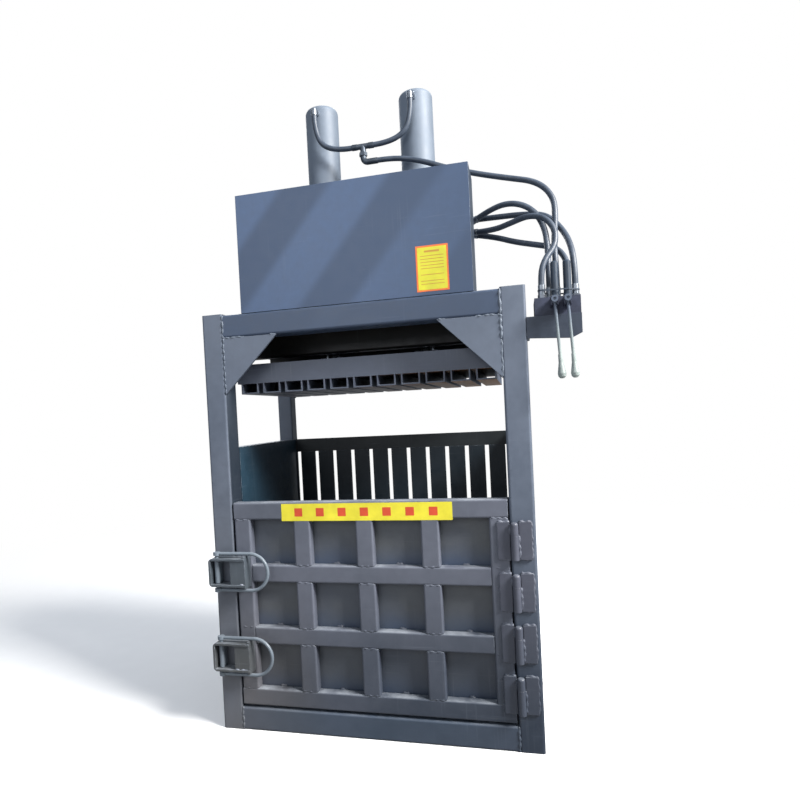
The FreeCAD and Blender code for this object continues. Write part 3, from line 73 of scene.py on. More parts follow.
ahead = Vector((-math.sin(CAMERA_YAW), math.cos(CAMERA_YAW), 0.0))
level_right = Vector((math.cos(CAMERA_YAW), math.sin(CAMERA_YAW), 0.0))
sight = ahead * math.cos(CAMERA_PITCH) + Vector((0, 0, math.sin(CAMERA_PITCH)))
level_up = Vector((0, 0, math.cos(CAMERA_PITCH))) - ahead * math.sin(CAMERA_PITCH)
right = level_right * math.cos(CAMERA_ROLL) - level_up * math.sin(CAMERA_ROLL)
up = level_right * math.sin(CAMERA_ROLL) + level_up * math.cos(CAMERA_ROLL)

camera_data = bpy.data.cameras.new("photo_camera")
camera_data.sensor_width = SENSOR_WIDTH
camera_data.lens = FOCAL_PIXELS / PHOTO_PIXELS * SENSOR_WIDTH
camera_data.shift_x = (PHOTO_PIXELS / 2 - OPTICAL_CENTRE[0]) / PHOTO_PIXELS
camera_data.shift_y = (OPTICAL_CENTRE[1] - PHOTO_PIXELS / 2) / PHOTO_PIXELS
camera_data.clip_start = 0.05
camera_data.clip_end = 60.0
camera = bpy.data.objects.new("photo_camera", camera_data)
turned = Matrix((right, up, -sight)).transposed().to_4x4()
camera.matrix_world = Matrix.Translation(CAMERA_AT) @ turned
bpy.context.scene.collection.objects.link(camera)
bpy.context.scene.camera = camera
print(f"lens {camera_data.lens:.1f} mm")

# %% [markdown]
# Seven hoses run over the top of the machine. Two short ones join the caps of both
# cylinders at a tee, and the other five end at the hand valve. A hose is a fixed
# length of stiff rubber that hangs in one smooth bend after another. A few control
# points per hose describe that well, and they are the same as for the solid hose.

# %% hose routes
FRONT = -0.390              # the posts' front faces
CROWN = 1.588               # the top of the frame
HOSE_DIAMETER = 0.021
HOSE_ROUTES = {
    "hose_cap_left": [(-206, 312, 842), (-206, 312, 750), (-140, 312, 684), (-50, 312, 684)],
    "hose_cap_right": [(195, 312, 842), (195, 312, 750), (129, 312, 684), (38, 312, 684)],
    "hose_cap_main": [(52, 312, 620), (125, 312, 620), (228, 300, 588), (340, 284, 534), (445, 262, 490),
                      (555, 238, 450), (662, 204, 410), (714, 176, 340), (716, 152, 257), (706, 134, 162),
                      (708, 108, 76), (708, 108, 4)],
    "hose_pressure": [(440, 262, 322), (505, 238, 350), (580, 212, 348), (645, 188, 305), (679, 164, 230),
                      (684, 132, 150), (682, 96, 76), (682, 96, 4)],
    "hose_return": [(440, 290, 326), (520, 270, 320), (612, 250, 312), (690, 222, 292), (738, 180, 224),
                    (760, 124, 154), (766, 80, 76), (766, 80, 4)],
    "hose_rod_left": [(438, 262, 270), (500, 233, 262), (565, 197, 271), (626, 160, 279), (680, 128, 255),
                      (710, 102, 203), (706, 82, 140), (670, 55, 94), (654, 44, 48), (654, 44, 4)],
    "hose_rod_right": [(436, 300, 268), (500, 284, 250), (572, 258, 216), (650, 226, 188), (716, 190, 162),
                       (746, 158, 112), (747, 130, 57), (747, 130, 4)],
}

# %% [markdown]
# Each route becomes a NURBS curve with a round bevel, which stays smooth from close
# by and costs only a few points. The order is set after the points, or the curve
# stays angular. Every hose takes the place of its solid.

# %% hoses


def route_point(x, depth, rise):
    """A point of a route, from millimetres to metres in the model's frame."""
    return Vector((x / 1000, FRONT + depth / 1000, CROWN + rise / 1000))


def lay_hose(name, route):
    curve = bpy.data.curves.new(name, "CURVE")
    curve.dimensions = "3D"
    spline = curve.splines.new("NURBS")
    spline.points.add(len(route) - 1)
    for point, place in zip(spline.points, route):
        point.co = (*route_point(*place), 1.0)
        point.radius = HOSE_DIAMETER / 2
    spline.order_u = 3
    spline.use_endpoint_u = True
    spline.resolution_u = 10
    curve.bevel_depth = 1.0     # times each point's radius
    curve.bevel_resolution = 5
    curve.use_fill_caps = True
    hose = bpy.data.objects.new(f"{name}_rubber", curve)
    bpy.context.scene.collection.objects.link(hose)
    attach(hose, "frame")
    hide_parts(name)
    return hose


hoses = [lay_hose(name, route) for name, route in HOSE_ROUTES.items()]
print(f"{len(hoses)} hoses")

# %% [markdown]
# A machine in a hazy yard has one broad sun. Here a large lamp high on the right
# stands for it, a weak one in front fills the shadows, and a third behind keeps the
# back readable. The world gives the bluish rest, and shows white to the camera, also
# through glass. The levels are set so that a colour looks about as it is written.

# %% lamps and backdrop
WHITE = (1.0, 1.0, 1.0, 1.0)
SKY_COLOUR = (0.80, 0.88, 1.0, 1.0)
SKY_STRENGTH = 0.42
LAMPS = {                   # place, aim, size in metres, watts and colour
    "key_softbox": ((6.2, -2.3, 5.9), (0, 0, 1.3), (2.8, 2.8), 1950, (1.0, 0.975, 0.94)),
    "fill_softbox": ((-1.6, -5.6, 3.4), (0, 0, 1.3), (4.0, 3.0), 90, (0.93, 0.96, 1.0)),
    "rear_softbox": ((-2.0, 4.0, 4.0), (0, 0, 1.2), (2.5, 2.5), 110, (0.95, 0.97, 1.0)),
}


def add(tree, kind, inputs=None, **settings):
    """Adds a shader node, sets its properties, and fills or links its inputs."""
    made = tree.nodes.new(kind)
    for name, value in settings.items():
        setattr(made, name, value)
    for key, value in (inputs or {}).items():
        if isinstance(value, bpy.types.NodeSocket):
            tree.links.new(value, made.inputs[key])
        else:
            made.inputs[key].default_value = value
    return made


def add_lamp(name, at, aim, size, watts, colour):
    lamp_data = bpy.data.lights.new(name, "AREA")
    lamp_data.shape = "RECTANGLE"
    lamp_data.size, lamp_data.size_y = size
    lamp_data.energy = watts
    lamp_data.color = colour
    lamp = bpy.data.objects.new(name, lamp_data)
    lamp.rotation_euler = (Vector(aim) - Vector(at)).to_track_quat("-Z", "Y").to_euler()
    lamp.location = at
    bpy.context.scene.collection.objects.link(lamp)


for name, setting in LAMPS.items():
    add_lamp(name, *setting)

world = bpy.data.worlds.new("pale_studio")
world.use_nodes = True
tree = world.node_tree
tree.nodes.clear()
rays = add(tree, "ShaderNodeLightPath").outputs
seen = add(tree, "ShaderNodeMath", {0: rays["Is Camera Ray"], 1: rays["Is Transmission Ray"]}, operation="MAXIMUM")
studio = add(tree, "ShaderNodeBackground", {"Color": SKY_COLOUR, "Strength": SKY_STRENGTH})
backdrop = add(tree, "ShaderNodeBackground", {"Color": WHITE, "Strength": 1.0})
either = add(tree, "ShaderNodeMixShader", {0: seen.outputs[0], 1: studio.outputs[0], 2: backdrop.outputs[0]})
add(tree, "ShaderNodeOutputWorld", {"Surface": either.outputs[0]})
bpy.context.scene.world = world
bpy.context.scene.view_settings.view_transform = "Standard"
print(f"{len(LAMPS)} lamps, {sum(setting[3] for setting in LAMPS.values())} W")

# %% [markdown]
# The floor is a plain pale disc that fades into the white backdrop, so the machine's
# shadow grounds it and nothing else is in the picture. A box or a photograph would
# show edges. What the floor sends back up is dim, as from a workshop's concrete.

# %% floor
FLOOR_RADIUS = 14.0
FLOOR_FADE = (2.4, 5.5)
FLOOR_BOUNCE = 0.22
FLOOR_TONE = (0.90, 0.94)


def object_at(tree):
    """The place on the piece itself, so a pattern moves with it."""
    return add(tree, "ShaderNodeTexCoord").outputs["Object"]


def noise(tree, at, scale, detail, roughness=0.5, distortion=0.0):
    return add(tree, "ShaderNodeTexNoise", {"Vector": at, "Scale": scale, "Detail": detail, "Roughness": roughness,
                                            "Distortion": distortion}).outputs[0]


def ramp(tree, value, start, full, low=0.0, high=1.0, soft=False):
    """Turns value into low up to start and high from full on."""
    return add(tree, "ShaderNodeMapRange", {"Value": value, "From Min": start, "From Max": full, "To Min": low,
                                            "To Max": high},
               interpolation_type="SMOOTHSTEP" if soft else "LINEAR").outputs[0]


def times(tree, *factors, clamp=False):
    """The product of all factors, kept between 0 and 1 if clamp is set."""
    total = factors[0]
    for count, factor in enumerate(factors[1:], 2):
        total = add(tree, "ShaderNodeMath", {0: total, 1: factor}, operation="MULTIPLY",
                    use_clamp=clamp and count == len(factors)).outputs[0]
    return total


def new_material(name):
    material = bpy.data.materials.new(name)
    material.use_nodes = True
    material.node_tree.nodes.clear()
    return material, material.node_tree


floor_mesh = bmesh.new()
bmesh.ops.create_circle(floor_mesh, cap_ends=True, segments=96, radius=FLOOR_RADIUS)
bmesh.ops.inset_region(floor_mesh, faces=floor_mesh.faces[:], thickness=FLOOR_RADIUS / 2)
floor_data = bpy.data.meshes.new("studio_floor")
floor_mesh.to_mesh(floor_data)
floor_mesh.free()
floor = bpy.data.objects.new("studio_floor", floor_data)
bpy.context.scene.collection.objects.link(floor)

floor_paint, tree = new_material("floor_pale")
at = object_at(tree)
distance = add(tree, "ShaderNodeVectorMath", {0: at}, operation="LENGTH").outputs["Value"]
in_view = add(tree, "ShaderNodeLightPath").outputs["Is Camera Ray"]
share = times(tree, ramp(tree, distance, *FLOOR_FADE, soft=True), in_view)
tone = ramp(tree, noise(tree, at, 9.0, 6.0), 0.0, 1.0, *FLOOR_TONE)
level = ramp(tree, in_view, 0.0, 1.0, FLOOR_BOUNCE, tone)
grey = add(tree, "ShaderNodeCombineColor", {0: level, 1: level, 2: level})
matt = add(tree, "ShaderNodeBsdfPrincipled", {"Base Color": grey.outputs[0], "Roughness": 0.9})
glow = add(tree, "ShaderNodeEmission", {"Color": WHITE, "Strength": 1.0})
blend = add(tree, "ShaderNodeMixShader", {0: share, 1: matt.outputs[0], 2: glow.outputs[0]})
add(tree, "ShaderNodeOutputMaterial", {"Surface": blend.outputs[0]})
floor_data.materials.append(floor_paint)
print(f"{len(floor_data.polygons)} floor faces")

# %% [markdown]
# Every painted piece shares the same few effects, so each is a node group that is
# built once. Enamel is never one flat colour: it has wide soft patches and a faint
# grain. Edges wear lighter, and where the wear is turned up, as on the door, the pale
# edges are a painted highlight too. A Bevel node rounds the light on plate edges
# that the solids leave sharp. Painting this into images would tie it to one size.

# %% shared effects: mottle and worn edges
SOCKETS = {"colour": "NodeSocketColor", "number": "NodeSocketFloat", "normal": "NodeSocketVector"}


def new_group(name, inputs, outputs):
    """An empty node group, with the sockets that bring its inputs and take its outputs."""
    group = bpy.data.node_groups.new(name, "ShaderNodeTree")
    for label, kind, start in inputs:
        group.interface.new_socket(label, in_out="INPUT", socket_type=SOCKETS[kind]).default_value = start
    for label, kind in outputs:
        group.interface.new_socket(label, in_out="OUTPUT", socket_type=SOCKETS[kind])
    return group, group.nodes.new("NodeGroupInput").outputs, group.nodes.new("NodeGroupOutput").inputs


def mix(tree, share, first, second, blend="MIX"):
    return add(tree, "ShaderNodeMix", {0: share, 6: first, 7: second}, data_type="RGBA", blend_type=blend).outputs[2]


def split(tree, vector):
    return add(tree, "ShaderNodeSeparateXYZ", {0: vector}).outputs


def facing(tree):
    """The way a surface looks."""
    return add(tree, "ShaderNodeNewGeometry").outputs["Normal"]


def mottle_group():
    """Wide patches between two colours, a fine grain, and a height for the skin of the paint."""
    group, given, result = new_group("paint_mottle", [
        ("Base", "colour", WHITE), ("Deep", "colour", WHITE), ("Patch", "number", 2.2), ("Grain", "number", 170.0),
    ], [("Color", "colour"), ("Gloss", "number"), ("Height", "number")])
    at = object_at(group)
    patch = noise(group, at, given["Patch"], 3.0, roughness=0.55, distortion=0.4)
    tint = mix(group, ramp(group, patch, 0.32, 0.68, soft=True), given["Base"], given["Deep"])
    cloud = noise(group, at, 26.0, 6.0, roughness=0.6)
    shaded = mix(group, 1.0, tint, ramp(group, cloud, 0.3, 0.7, 0.93, 1.07), blend="MULTIPLY")
    group.links.new(shaded, result["Color"])
    group.links.new(cloud, result["Gloss"])
    group.links.new(noise(group, at, given["Grain"], 2.0), result["Height"])
    return group


def wear_and_highlight_group():
    """Finds edges by how much a bevelled normal turns away, and breaks the band up with noise."""
    # The pale edge band is wear, and where it is turned up, as on the door, a painted highlight too.
    group, given, result = new_group("edge_wear_and_highlight", [("Width", "number", 0.002), ("Amount", "number", 0.5)],
                                     [("Mask", "number"), ("Normal", "normal")])
    rounded = add(group, "ShaderNodeBevel", {"Radius": given["Width"]}, samples=4).outputs[0]
    match = add(group, "ShaderNodeVectorMath", {0: rounded, 1: facing(group)}, operation="DOT_PRODUCT")
    bend = ramp(group, match.outputs["Value"], 0.985, 0.86)
    rub = noise(group, object_at(group), 38.0, 5.0, roughness=0.65)
    mask = times(group, bend, ramp(group, rub, 0.42, 0.62), given["Amount"], clamp=True)
    group.links.new(mask, result["Mask"])
    group.links.new(rounded, result["Normal"])
    return group


MOTTLE = mottle_group()
WEAR_AND_HIGHLIGHT = wear_and_highlight_group()
print(f"{len(bpy.data.node_groups)} shared effects")

# %% [markdown]
# A press in a recycling yard gathers dust on every ledge, and bales, boots and
# straps leave long thin rubs. Dust comes from the way a face looks, rubs come from
# noise that is stretched until it is a line. Where the dust is turned up, as on the
# door's rail tops, it is a painted highlight as well. Both need no drawing by hand,
# and both fall in the right place on every piece.

# %% shared effects: dust with painted highlight, and scuffs


def dust_and_highlight_group():
    """Dust settles where a face looks up and thins out in patches; turned up, it is a painted highlight too."""
    group, given, result = new_group("settled_dust_and_highlight", [("Amount", "number", 0.5)], [("Mask", "number")])
    # Faces that look up get dust, and where it is turned up, a painted highlight.
    ledge = ramp(group, split(group, facing(group))["Z"], 0.35, 0.95)
    spread = noise(group, object_at(group), 11.0, 8.0, roughness=0.62)
    mask = times(group, ledge, ramp(group, spread, 0.35, 0.7), given["Amount"], clamp=True)
    group.links.new(mask, result["Mask"])
    return group


def scuff_group():
    """Long thin rubs, as a bale, a boot or a strap leaves them."""
    group, given, result = new_group("long_scuffs", [("Amount", "number", 0.4)], [("Mask", "number")])
    at = object_at(group)
    masks = []
    for turn, stretch in (((0.0, 0.15, 0.3), (6.0, 6.0, 170.0)), ((0.2, 0.9, 0.1), (120.0, 120.0, 3.0))):
        lay = add(group, "ShaderNodeMapping", {"Vector": at, "Rotation": turn, "Scale": stretch})
        masks.append(ramp(group, noise(group, lay.outputs[0], 1.0, 3.0), 0.62, 0.72))
    most = add(group, "ShaderNodeMath", {0: masks[0], 1: masks[1]}, operation="MAXIMUM").outputs[0]
    rubbed = ramp(group, noise(group, at, 3.0, 2.0), 0.45, 0.65)
    group.links.new(times(group, most, rubbed, given["Amount"], clamp=True), result["Mask"])
    return group


DUST_AND_HIGHLIGHT = dust_and_highlight_group()
SCUFF = scuff_group()
print(f"{len(bpy.data.node_groups)} shared effects")

# %% [markdown]
# Rain splashes dirt up the lower part of the machine. It is thin and dry at the left
# edge, and thicker, damp and dark from there to the right. This darkening toward the
# bottom and the right is painted shade as well as dirt. The waste stains what looks
# down on it brown. The masks come from height and side on the piece itself, so dirt
# and shade need no map of their own.

# %% shared effects: dirt, painted shade and stain
# The dirt and its painted shade reach this high on most pieces.
GRIME_AND_SHADE_TOP = 0.74            # how high most pieces are splashed


def grime_and_shade_group():
    """Splashed dirt and painted shade, low and to the right, and a brown stain on faces that look down at the waste."""
    group, given, result = new_group(
        "grime_shade_and_stain", [("GrimeShade", "number", 0.5), ("Stain", "number", 0.0), ("Top", "number", GRIME_AND_SHADE_TOP)],
        [("GrimeShade", "number"), ("DampShade", "number"), ("Stain", "number")])
    at = object_at(group)
    place = split(group, at)
    height = ramp(group, place["Z"], given["Top"], 0.0, soft=True)
    patchy = ramp(group, noise(group, at, 5.0, 7.0, roughness=0.6), 0.3, 0.7, 0.65, 1.0)
    # Painted shade: the mask grows toward the right, where a shadow falls.
    darker_to_right = ramp(group, place["X"], -0.55, 0.45, 0.75, 1.3)
    under = ramp(group, split(group, facing(group))["Z"], -0.3, -0.9)
    side = ramp(group, place["X"], -0.1, 0.4, 0.1, 1.2)
    group.links.new(times(group, darker_to_right, patchy, height, given["GrimeShade"], clamp=True), result["GrimeShade"])
    # Painted shade: from the left edge toward the right, the dirt turns dark.
    group.links.new(ramp(group, place["X"], -0.5, -0.15), result["DampShade"])
    group.links.new(times(group, under, side, patchy, given["Stain"], clamp=True), result["Stain"])
    return group


GRIME_AND_SHADE = grime_and_shade_group()
print(f"{len(bpy.data.node_groups)} shared effects")

# %% [markdown]
# Three effects belong to single pieces, and all three are painted light. Slanting
# darker bands on the tank are a painted reflection of its surroundings. A darker bluish
# band along the lower edge of each pocket of the door is a painted reflection of the
# sky. Painted shade darkens faces that look toward the valve side. A wave, a fraction
# of the height and the face's own direction are enough for them.

# %% shared effects: painted reflections and painted shade


def reflection_band_group():
    """Painted reflection: broad slanting darker bands, as the surroundings show in the gloss."""
    group, given, result = new_group("painted_reflection_bands", [("Amount", "number", 0.0)], [("Mask", "number")])
    # Painted reflection: slanting bands that turn the paint toward its deep colour.
    lay = add(group, "ShaderNodeMapping", {"Vector": object_at(group), "Rotation": (0.0, -0.75, 0.0)})
    wave = add(group, "ShaderNodeTexWave", {"Vector": lay.outputs[0], "Scale": 0.95, "Distortion": 1.6, "Detail": 1.0,
                                            "Detail Scale": 0.8}, bands_direction="X")
    soft = ramp(group, wave.outputs[1], 0.35, 0.75, soft=True)
    group.links.new(times(group, soft, given["Amount"], clamp=True), result["Mask"])
    return group


def pocket_reflection_group():
    """Painted reflection of the sky: a darker bluish band along each pocket's lower edge, on the outer side."""
    group, given, result = new_group("painted_pocket_reflection", [("Start", "number", 0.2), ("Pitch", "number", 0.25),
                                                      ("Middle", "number", 0.0), ("Amount", "number", 0.0)],
                                     [("Mask", "number")])
    at = object_at(group)
    place = split(group, at)
    rise = add(group, "ShaderNodeMath", {0: place["Z"], 1: given["Start"]}, operation="SUBTRACT").outputs[0]
    rows = add(group, "ShaderNodeMath", {0: rise, 1: given["Pitch"]}, operation="DIVIDE").outputs[0]
    share = add(group, "ShaderNodeMath", {0: rows}, operation="FRACT").outputs[0]
    # Painted reflection: the lower part of each row of pockets turns bluish.
    low = ramp(group, share, 0.62, 0.25, soft=True)
    uneven = ramp(group, noise(group, at, 9.0, 4.0), 0.3, 0.6, 0.55, 1.0)
    outer = add(group, "ShaderNodeMath", {0: place["Y"], 1: given["Middle"]}, operation="LESS_THAN").outputs[0]
    group.links.new(times(group, low, outer, uneven, given["Amount"], clamp=True), result["Mask"])
    return group


def side_shade_group():
    """Painted shade on faces that look to the valve side; strongest on the left post's inner side."""
    group, given, result = new_group("painted_side_shade", [("Amount", "number", 0.0)], [("Mask", "number")])
    # Painted shade falls on faces that look to the right.
    side = ramp(group, split(group, facing(group))["X"], 0.6, 0.95)
    at = object_at(group)
    lay = add(group, "ShaderNodeMapping", {"Vector": at, "Scale": (9.0, 9.0, 1.5)})
    uneven = ramp(group, noise(group, lay.outputs[0], 1.0, 4.0), 0.3, 0.6, 0.7, 1.0)
    inner = ramp(group, split(group, at)["X"], -0.2, -0.38, 1.0, 1.9)
    group.links.new(times(group, uneven, inner, side, given["Amount"], clamp=True), result["Mask"])
    return group


REFLECTION_BANDS = reflection_band_group()
POCKET_REFLECTION = pocket_reflection_group()
SIDE_SHADE = side_shade_group()
print(f"{len(bpy.data.node_groups)} shared effects")

# %% [markdown]
# One recipe makes every enamel. Over the mottled paint lie, in this order, the painted
# reflection bands, the painted reflection in the pockets, splashed dirt with its painted
# shade, brown stain and painted side shade, and then what is newest: scuffs, worn edges
# and dust, where the edges and dust can be turned up into a painted highlight. Each
# layer is a mask and a colour, so a loop can mix them.

# %% enamel recipe


def srgb(red, green, blue):
    """A colour as a picture editor shows it, 0 to 255, turned into the shader's own scale."""
    linear = []
    for part in (red, green, blue):
        part /= 255
        linear.append(part / 12.92 if part <= 0.04045 else ((part + 0.055) / 1.055) ** 2.4)
    return (*linear, 1.0)


# The dust and worn-edge colours also serve as painted highlights where they are turned up.
DUST_AND_HIGHLIGHT_COLOUR = srgb(146, 152, 160)
WORN_AND_HIGHLIGHT_COLOUR = srgb(150, 158, 170)
DRY_DIRT = srgb(86, 80, 72)
# The dark colour the dirt turns to toward the right is also painted shade.
DAMP_DIRT_AND_SHADE = srgb(34, 44, 58)
STAIN_COLOUR = srgb(142, 98, 48)
POCKET_REFLECTION_COLOUR = srgb(58, 76, 104)
SIDE_SHADE_COLOUR = srgb(34, 42, 52)
DUST_DULLS = 0.35           # how much rougher full dust makes the paint

door_low, door_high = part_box("door_sheet")
DOOR_TUBE = 0.065
DOOR_ROWS = 3
DOOR_ROW_PITCH = (door_high[2] - door_low[2] - DOOR_TUBE) / DOOR_ROWS
DOOR_SHEET_MIDDLE = (door_low[1] + door_high[1]) / 2


def fill(tree, group, inputs):
    """Places a shared effect in a material, gives it this material's values and returns what it puts out."""
    made = tree.nodes.new("ShaderNodeGroup")
    made.node_tree = group
    for key, value in inputs.items():
        made.inputs[key].default_value = value
    return made.outputs


def gloss_range(tree, mottle, gloss):
    """A roughness that follows the clouds in the paint."""
    return ramp(tree, mottle["Gloss"], 0.3, 0.7, *gloss)


def skin(tree, mottle, depth, normal):
    """The faint relief of the paint or the metal, over edges that are rounded already."""
    return add(tree, "ShaderNodeBump", {"Height": mottle["Height"], "Distance": depth, "Strength": 0.6,
                                        "Normal": normal}).outputs[0]


def surface(tree, colour, roughness, normal, metallic=0.0):
    shader = add(tree, "ShaderNodeBsdfPrincipled", {"Base Color": colour, "Roughness": roughness, "Normal": normal,
                                                    "Metallic": metallic})
    add(tree, "ShaderNodeOutputMaterial", {"Surface": shader.outputs[0]})


def enamel(name, base, deep, gloss=(0.34, 0.50), wear_and_highlight_amount=0.45, dust_and_highlight_amount=0.35, scuffs=0.06, edge=0.002, patch=2.2,
           peel=0.00012, grime_and_shade_amount=0.7, stain=0.0, band_reflection_amount=0.0, pocket_reflection_amount=0.0, side_shade_amount=0.0, grime_and_shade_height=GRIME_AND_SHADE_TOP):
    material, tree = new_material(name)
    mottle = fill(tree, MOTTLE, {"Base": base, "Deep": deep, "Patch": patch})
    reflected_bands = fill(tree, REFLECTION_BANDS, {"Amount": band_reflection_amount})
    pocket_reflected = fill(tree, POCKET_REFLECTION, {"Start": door_low[2], "Pitch": DOOR_ROW_PITCH, "Middle": DOOR_SHEET_MIDDLE,
                                "Amount": pocket_reflection_amount})
    dirty_and_shaded = fill(tree, GRIME_AND_SHADE, {"GrimeShade": grime_and_shade_amount, "Stain": stain, "Top": grime_and_shade_height})
    side_shaded = fill(tree, SIDE_SHADE, {"Amount": side_shade_amount})
    rubbed = fill(tree, SCUFF, {"Amount": scuffs})
    worn_and_lit = fill(tree, WEAR_AND_HIGHLIGHT, {"Width": edge, "Amount": wear_and_highlight_amount})
    settled_and_lit = fill(tree, DUST_AND_HIGHLIGHT, {"Amount": dust_and_highlight_amount})
    colour = mottle["Color"]
    # Painted light among these layers: the reflection bands and pocket reflection, the dirt's shade, the side shade,
    # and highlights where dust and worn edges are turned up.
    for mask, layer in ((reflected_bands["Mask"], deep), (pocket_reflected["Mask"], POCKET_REFLECTION_COLOUR),
                        (dirty_and_shaded["GrimeShade"], mix(tree, dirty_and_shaded["DampShade"], DRY_DIRT, DAMP_DIRT_AND_SHADE)),
                        (dirty_and_shaded["Stain"], STAIN_COLOUR), (side_shaded["Mask"], SIDE_SHADE_COLOUR),
                        (rubbed["Mask"], WORN_AND_HIGHLIGHT_COLOUR), (worn_and_lit["Mask"], WORN_AND_HIGHLIGHT_COLOUR), (settled_and_lit["Mask"], DUST_AND_HIGHLIGHT_COLOUR)):
        colour = mix(tree, mask, colour, layer)
    dulled = add(tree, "ShaderNodeMath", {0: settled_and_lit["Mask"], 1: DUST_DULLS, 2: gloss_range(tree, mottle, gloss)},
                 operation="MULTIPLY_ADD", use_clamp=True)
    surface(tree, colour, dulled.outputs[0], skin(tree, mottle, peel, worn_and_lit["Normal"]))
    return material


print(f"door rows {DOOR_ROW_PITCH:.3f} m apart")

# %% [markdown]
# What differs from piece to piece is named in one short table, so the tank can be
# bluer and glossier than the door, as it is on the real machine. The colours were set
# by comparing renders with the photograph, one region after another.

# %% enamels
# Frame: the dirt reaches high up the posts and is painted shade as much as dirt; its side shade is painted shade on
# faces looking right.
FRAME_ENAMEL = enamel("frame_enamel", srgb(97, 106, 121), srgb(85, 94, 109), grime_and_shade_amount=0.85, edge=0.003, wear_and_highlight_amount=0.3,
                      side_shade_amount=0.55, grime_and_shade_height=1.35)
WELD_ENAMEL = enamel("weld_enamel", srgb(100, 109, 122), srgb(90, 99, 112), gloss=(0.55, 0.7), wear_and_highlight_amount=0.0, dust_and_highlight_amount=0.1)
CROWN_ENAMEL = enamel("crown_enamel", srgb(38, 37, 35), srgb(30, 29, 26), dust_and_highlight_amount=0.5)
SILL_ENAMEL = enamel("sill_enamel", srgb(72, 82, 98), srgb(62, 75, 91), grime_and_shade_amount=0.5, edge=0.003, wear_and_highlight_amount=0.3)
# Top beam: its darker paint is painted shade, for the tank's shadow on it.
BEAM_SHADED_ENAMEL = enamel("top_beam_shaded_enamel", srgb(61, 75, 97), srgb(55, 68, 89), edge=0.003, wear_and_highlight_amount=0.3)
CHAMBER_ENAMEL = enamel("chamber_enamel", srgb(33, 56, 71), srgb(25, 43, 56), scuffs=0.1, wear_and_highlight_amount=0.6)
BAND_ENAMEL = enamel("back_band_enamel", srgb(25, 31, 34), srgb(18, 23, 26), scuffs=0.1, wear_and_highlight_amount=0.6)
SLAT_ENAMEL = enamel("back_slat_enamel", srgb(14, 27, 36), srgb(9, 19, 27), scuffs=0.1, wear_and_highlight_amount=0.6)
# Door: dust and edge wear are turned up into a painted highlight on the rail tops and pocket edges.
DOOR_ENAMEL = enamel("door_enamel", srgb(93, 97, 109), srgb(82, 87, 98), grime_and_shade_amount=0.85, edge=0.004, wear_and_highlight_amount=0.8, dust_and_highlight_amount=0.85)
DOOR_WELD_ENAMEL = enamel("door_weld_enamel", srgb(93, 97, 109), srgb(82, 87, 98), grime_and_shade_amount=0.85, wear_and_highlight_amount=0.3, dust_and_highlight_amount=0.2)
# Hinges: their darker paint is partly painted shade, for the shadow on the right side.
HINGE_PARTLY_SHADED_ENAMEL = enamel("hinge_partly_shaded_enamel", srgb(74, 77, 89), srgb(65, 69, 80), grime_and_shade_amount=0.6, wear_and_highlight_amount=0.35, dust_and_highlight_amount=0.4)
HINGE_WELD_ENAMEL = enamel("hinge_weld_enamel", srgb(84, 88, 100), srgb(74, 78, 90), gloss=(0.5, 0.65), wear_and_highlight_amount=0.1,
                           dust_and_highlight_amount=0.1)
# Door sheet: the pocket reflection is a painted reflection, a darker bluish band at each pocket's foot.
PANEL_ENAMEL = enamel("door_sheet_enamel", srgb(84, 87, 90), srgb(77, 82, 91), gloss=(0.36, 0.52), patch=3.4,
                      pocket_reflection_amount=0.6)
# Tank: the slanting bands are a painted reflection, and the side shade is painted shade on its right side.
TANK_ENAMEL = enamel("tank_enamel", srgb(69, 88, 118), srgb(53, 69, 94), gloss=(0.38, 0.46), patch=0.6, wear_and_highlight_amount=0.3,
                     band_reflection_amount=0.9, grime_and_shade_amount=0.0, dust_and_highlight_amount=0.2, side_shade_amount=0.95)
# Cylinders: the side shade dims their lit right side as painted shade.
CYLINDER_ENAMEL = enamel("cylinder_enamel", srgb(110, 121, 135), srgb(101, 112, 126), gloss=(0.54, 0.66), dust_and_highlight_amount=0.2,
                         side_shade_amount=0.3)
# Valve bracket: its dark paint is painted shade, for the valve's shadow on it.
BRACKET_SHADED_ENAMEL = enamel("bracket_shaded_enamel", srgb(54, 62, 76), srgb(42, 50, 62))
PLATEN_ENAMEL = enamel("platen_enamel", srgb(80, 87, 102), srgb(70, 76, 89), wear_and_highlight_amount=0.7, scuffs=0.2, stain=1.0)
LATCH_ENAMEL = enamel("latch_enamel", srgb(108, 118, 128), srgb(92, 102, 112), wear_and_highlight_amount=0.8, scuffs=0.1, edge=0.0015,
                      grime_and_shade_amount=0.2)
STRAP_ENAMEL = enamel("strap_enamel", srgb(72, 80, 88), srgb(58, 66, 72), wear_and_highlight_amount=0.9, scuffs=0.15, edge=0.0025,
                      dust_and_highlight_amount=0.6)
STRAP_WELD_ENAMEL = enamel("strap_weld_enamel", srgb(138, 144, 156), srgb(112, 118, 130), gloss=(0.45, 0.6),
                           wear_and_highlight_amount=0.3, grime_and_shade_amount=0.1)
MOTOR_ENAMEL = enamel("motor_enamel", srgb(80, 92, 112), srgb(70, 80, 98), peel=0.0003, edge=0.001)
print(f"{sum('enamel' in material.name for material in bpy.data.materials)} enamels")

# %% [markdown]
# Metals get their own recipe. Plated steel is dull with cloudy stains, chrome is
# nearly a mirror, and a casting is dark with a sand-rough skin. Rubber and plastic
# take the same recipe without the metal. The lever rods darken toward their upper
# ends, so the recipe can turn from one colour to another with height.

# %% metals, rubber and plastics
METAL_PATCH = 34.0
METAL_EDGE = 0.0008
METAL_WEAR = 0.3


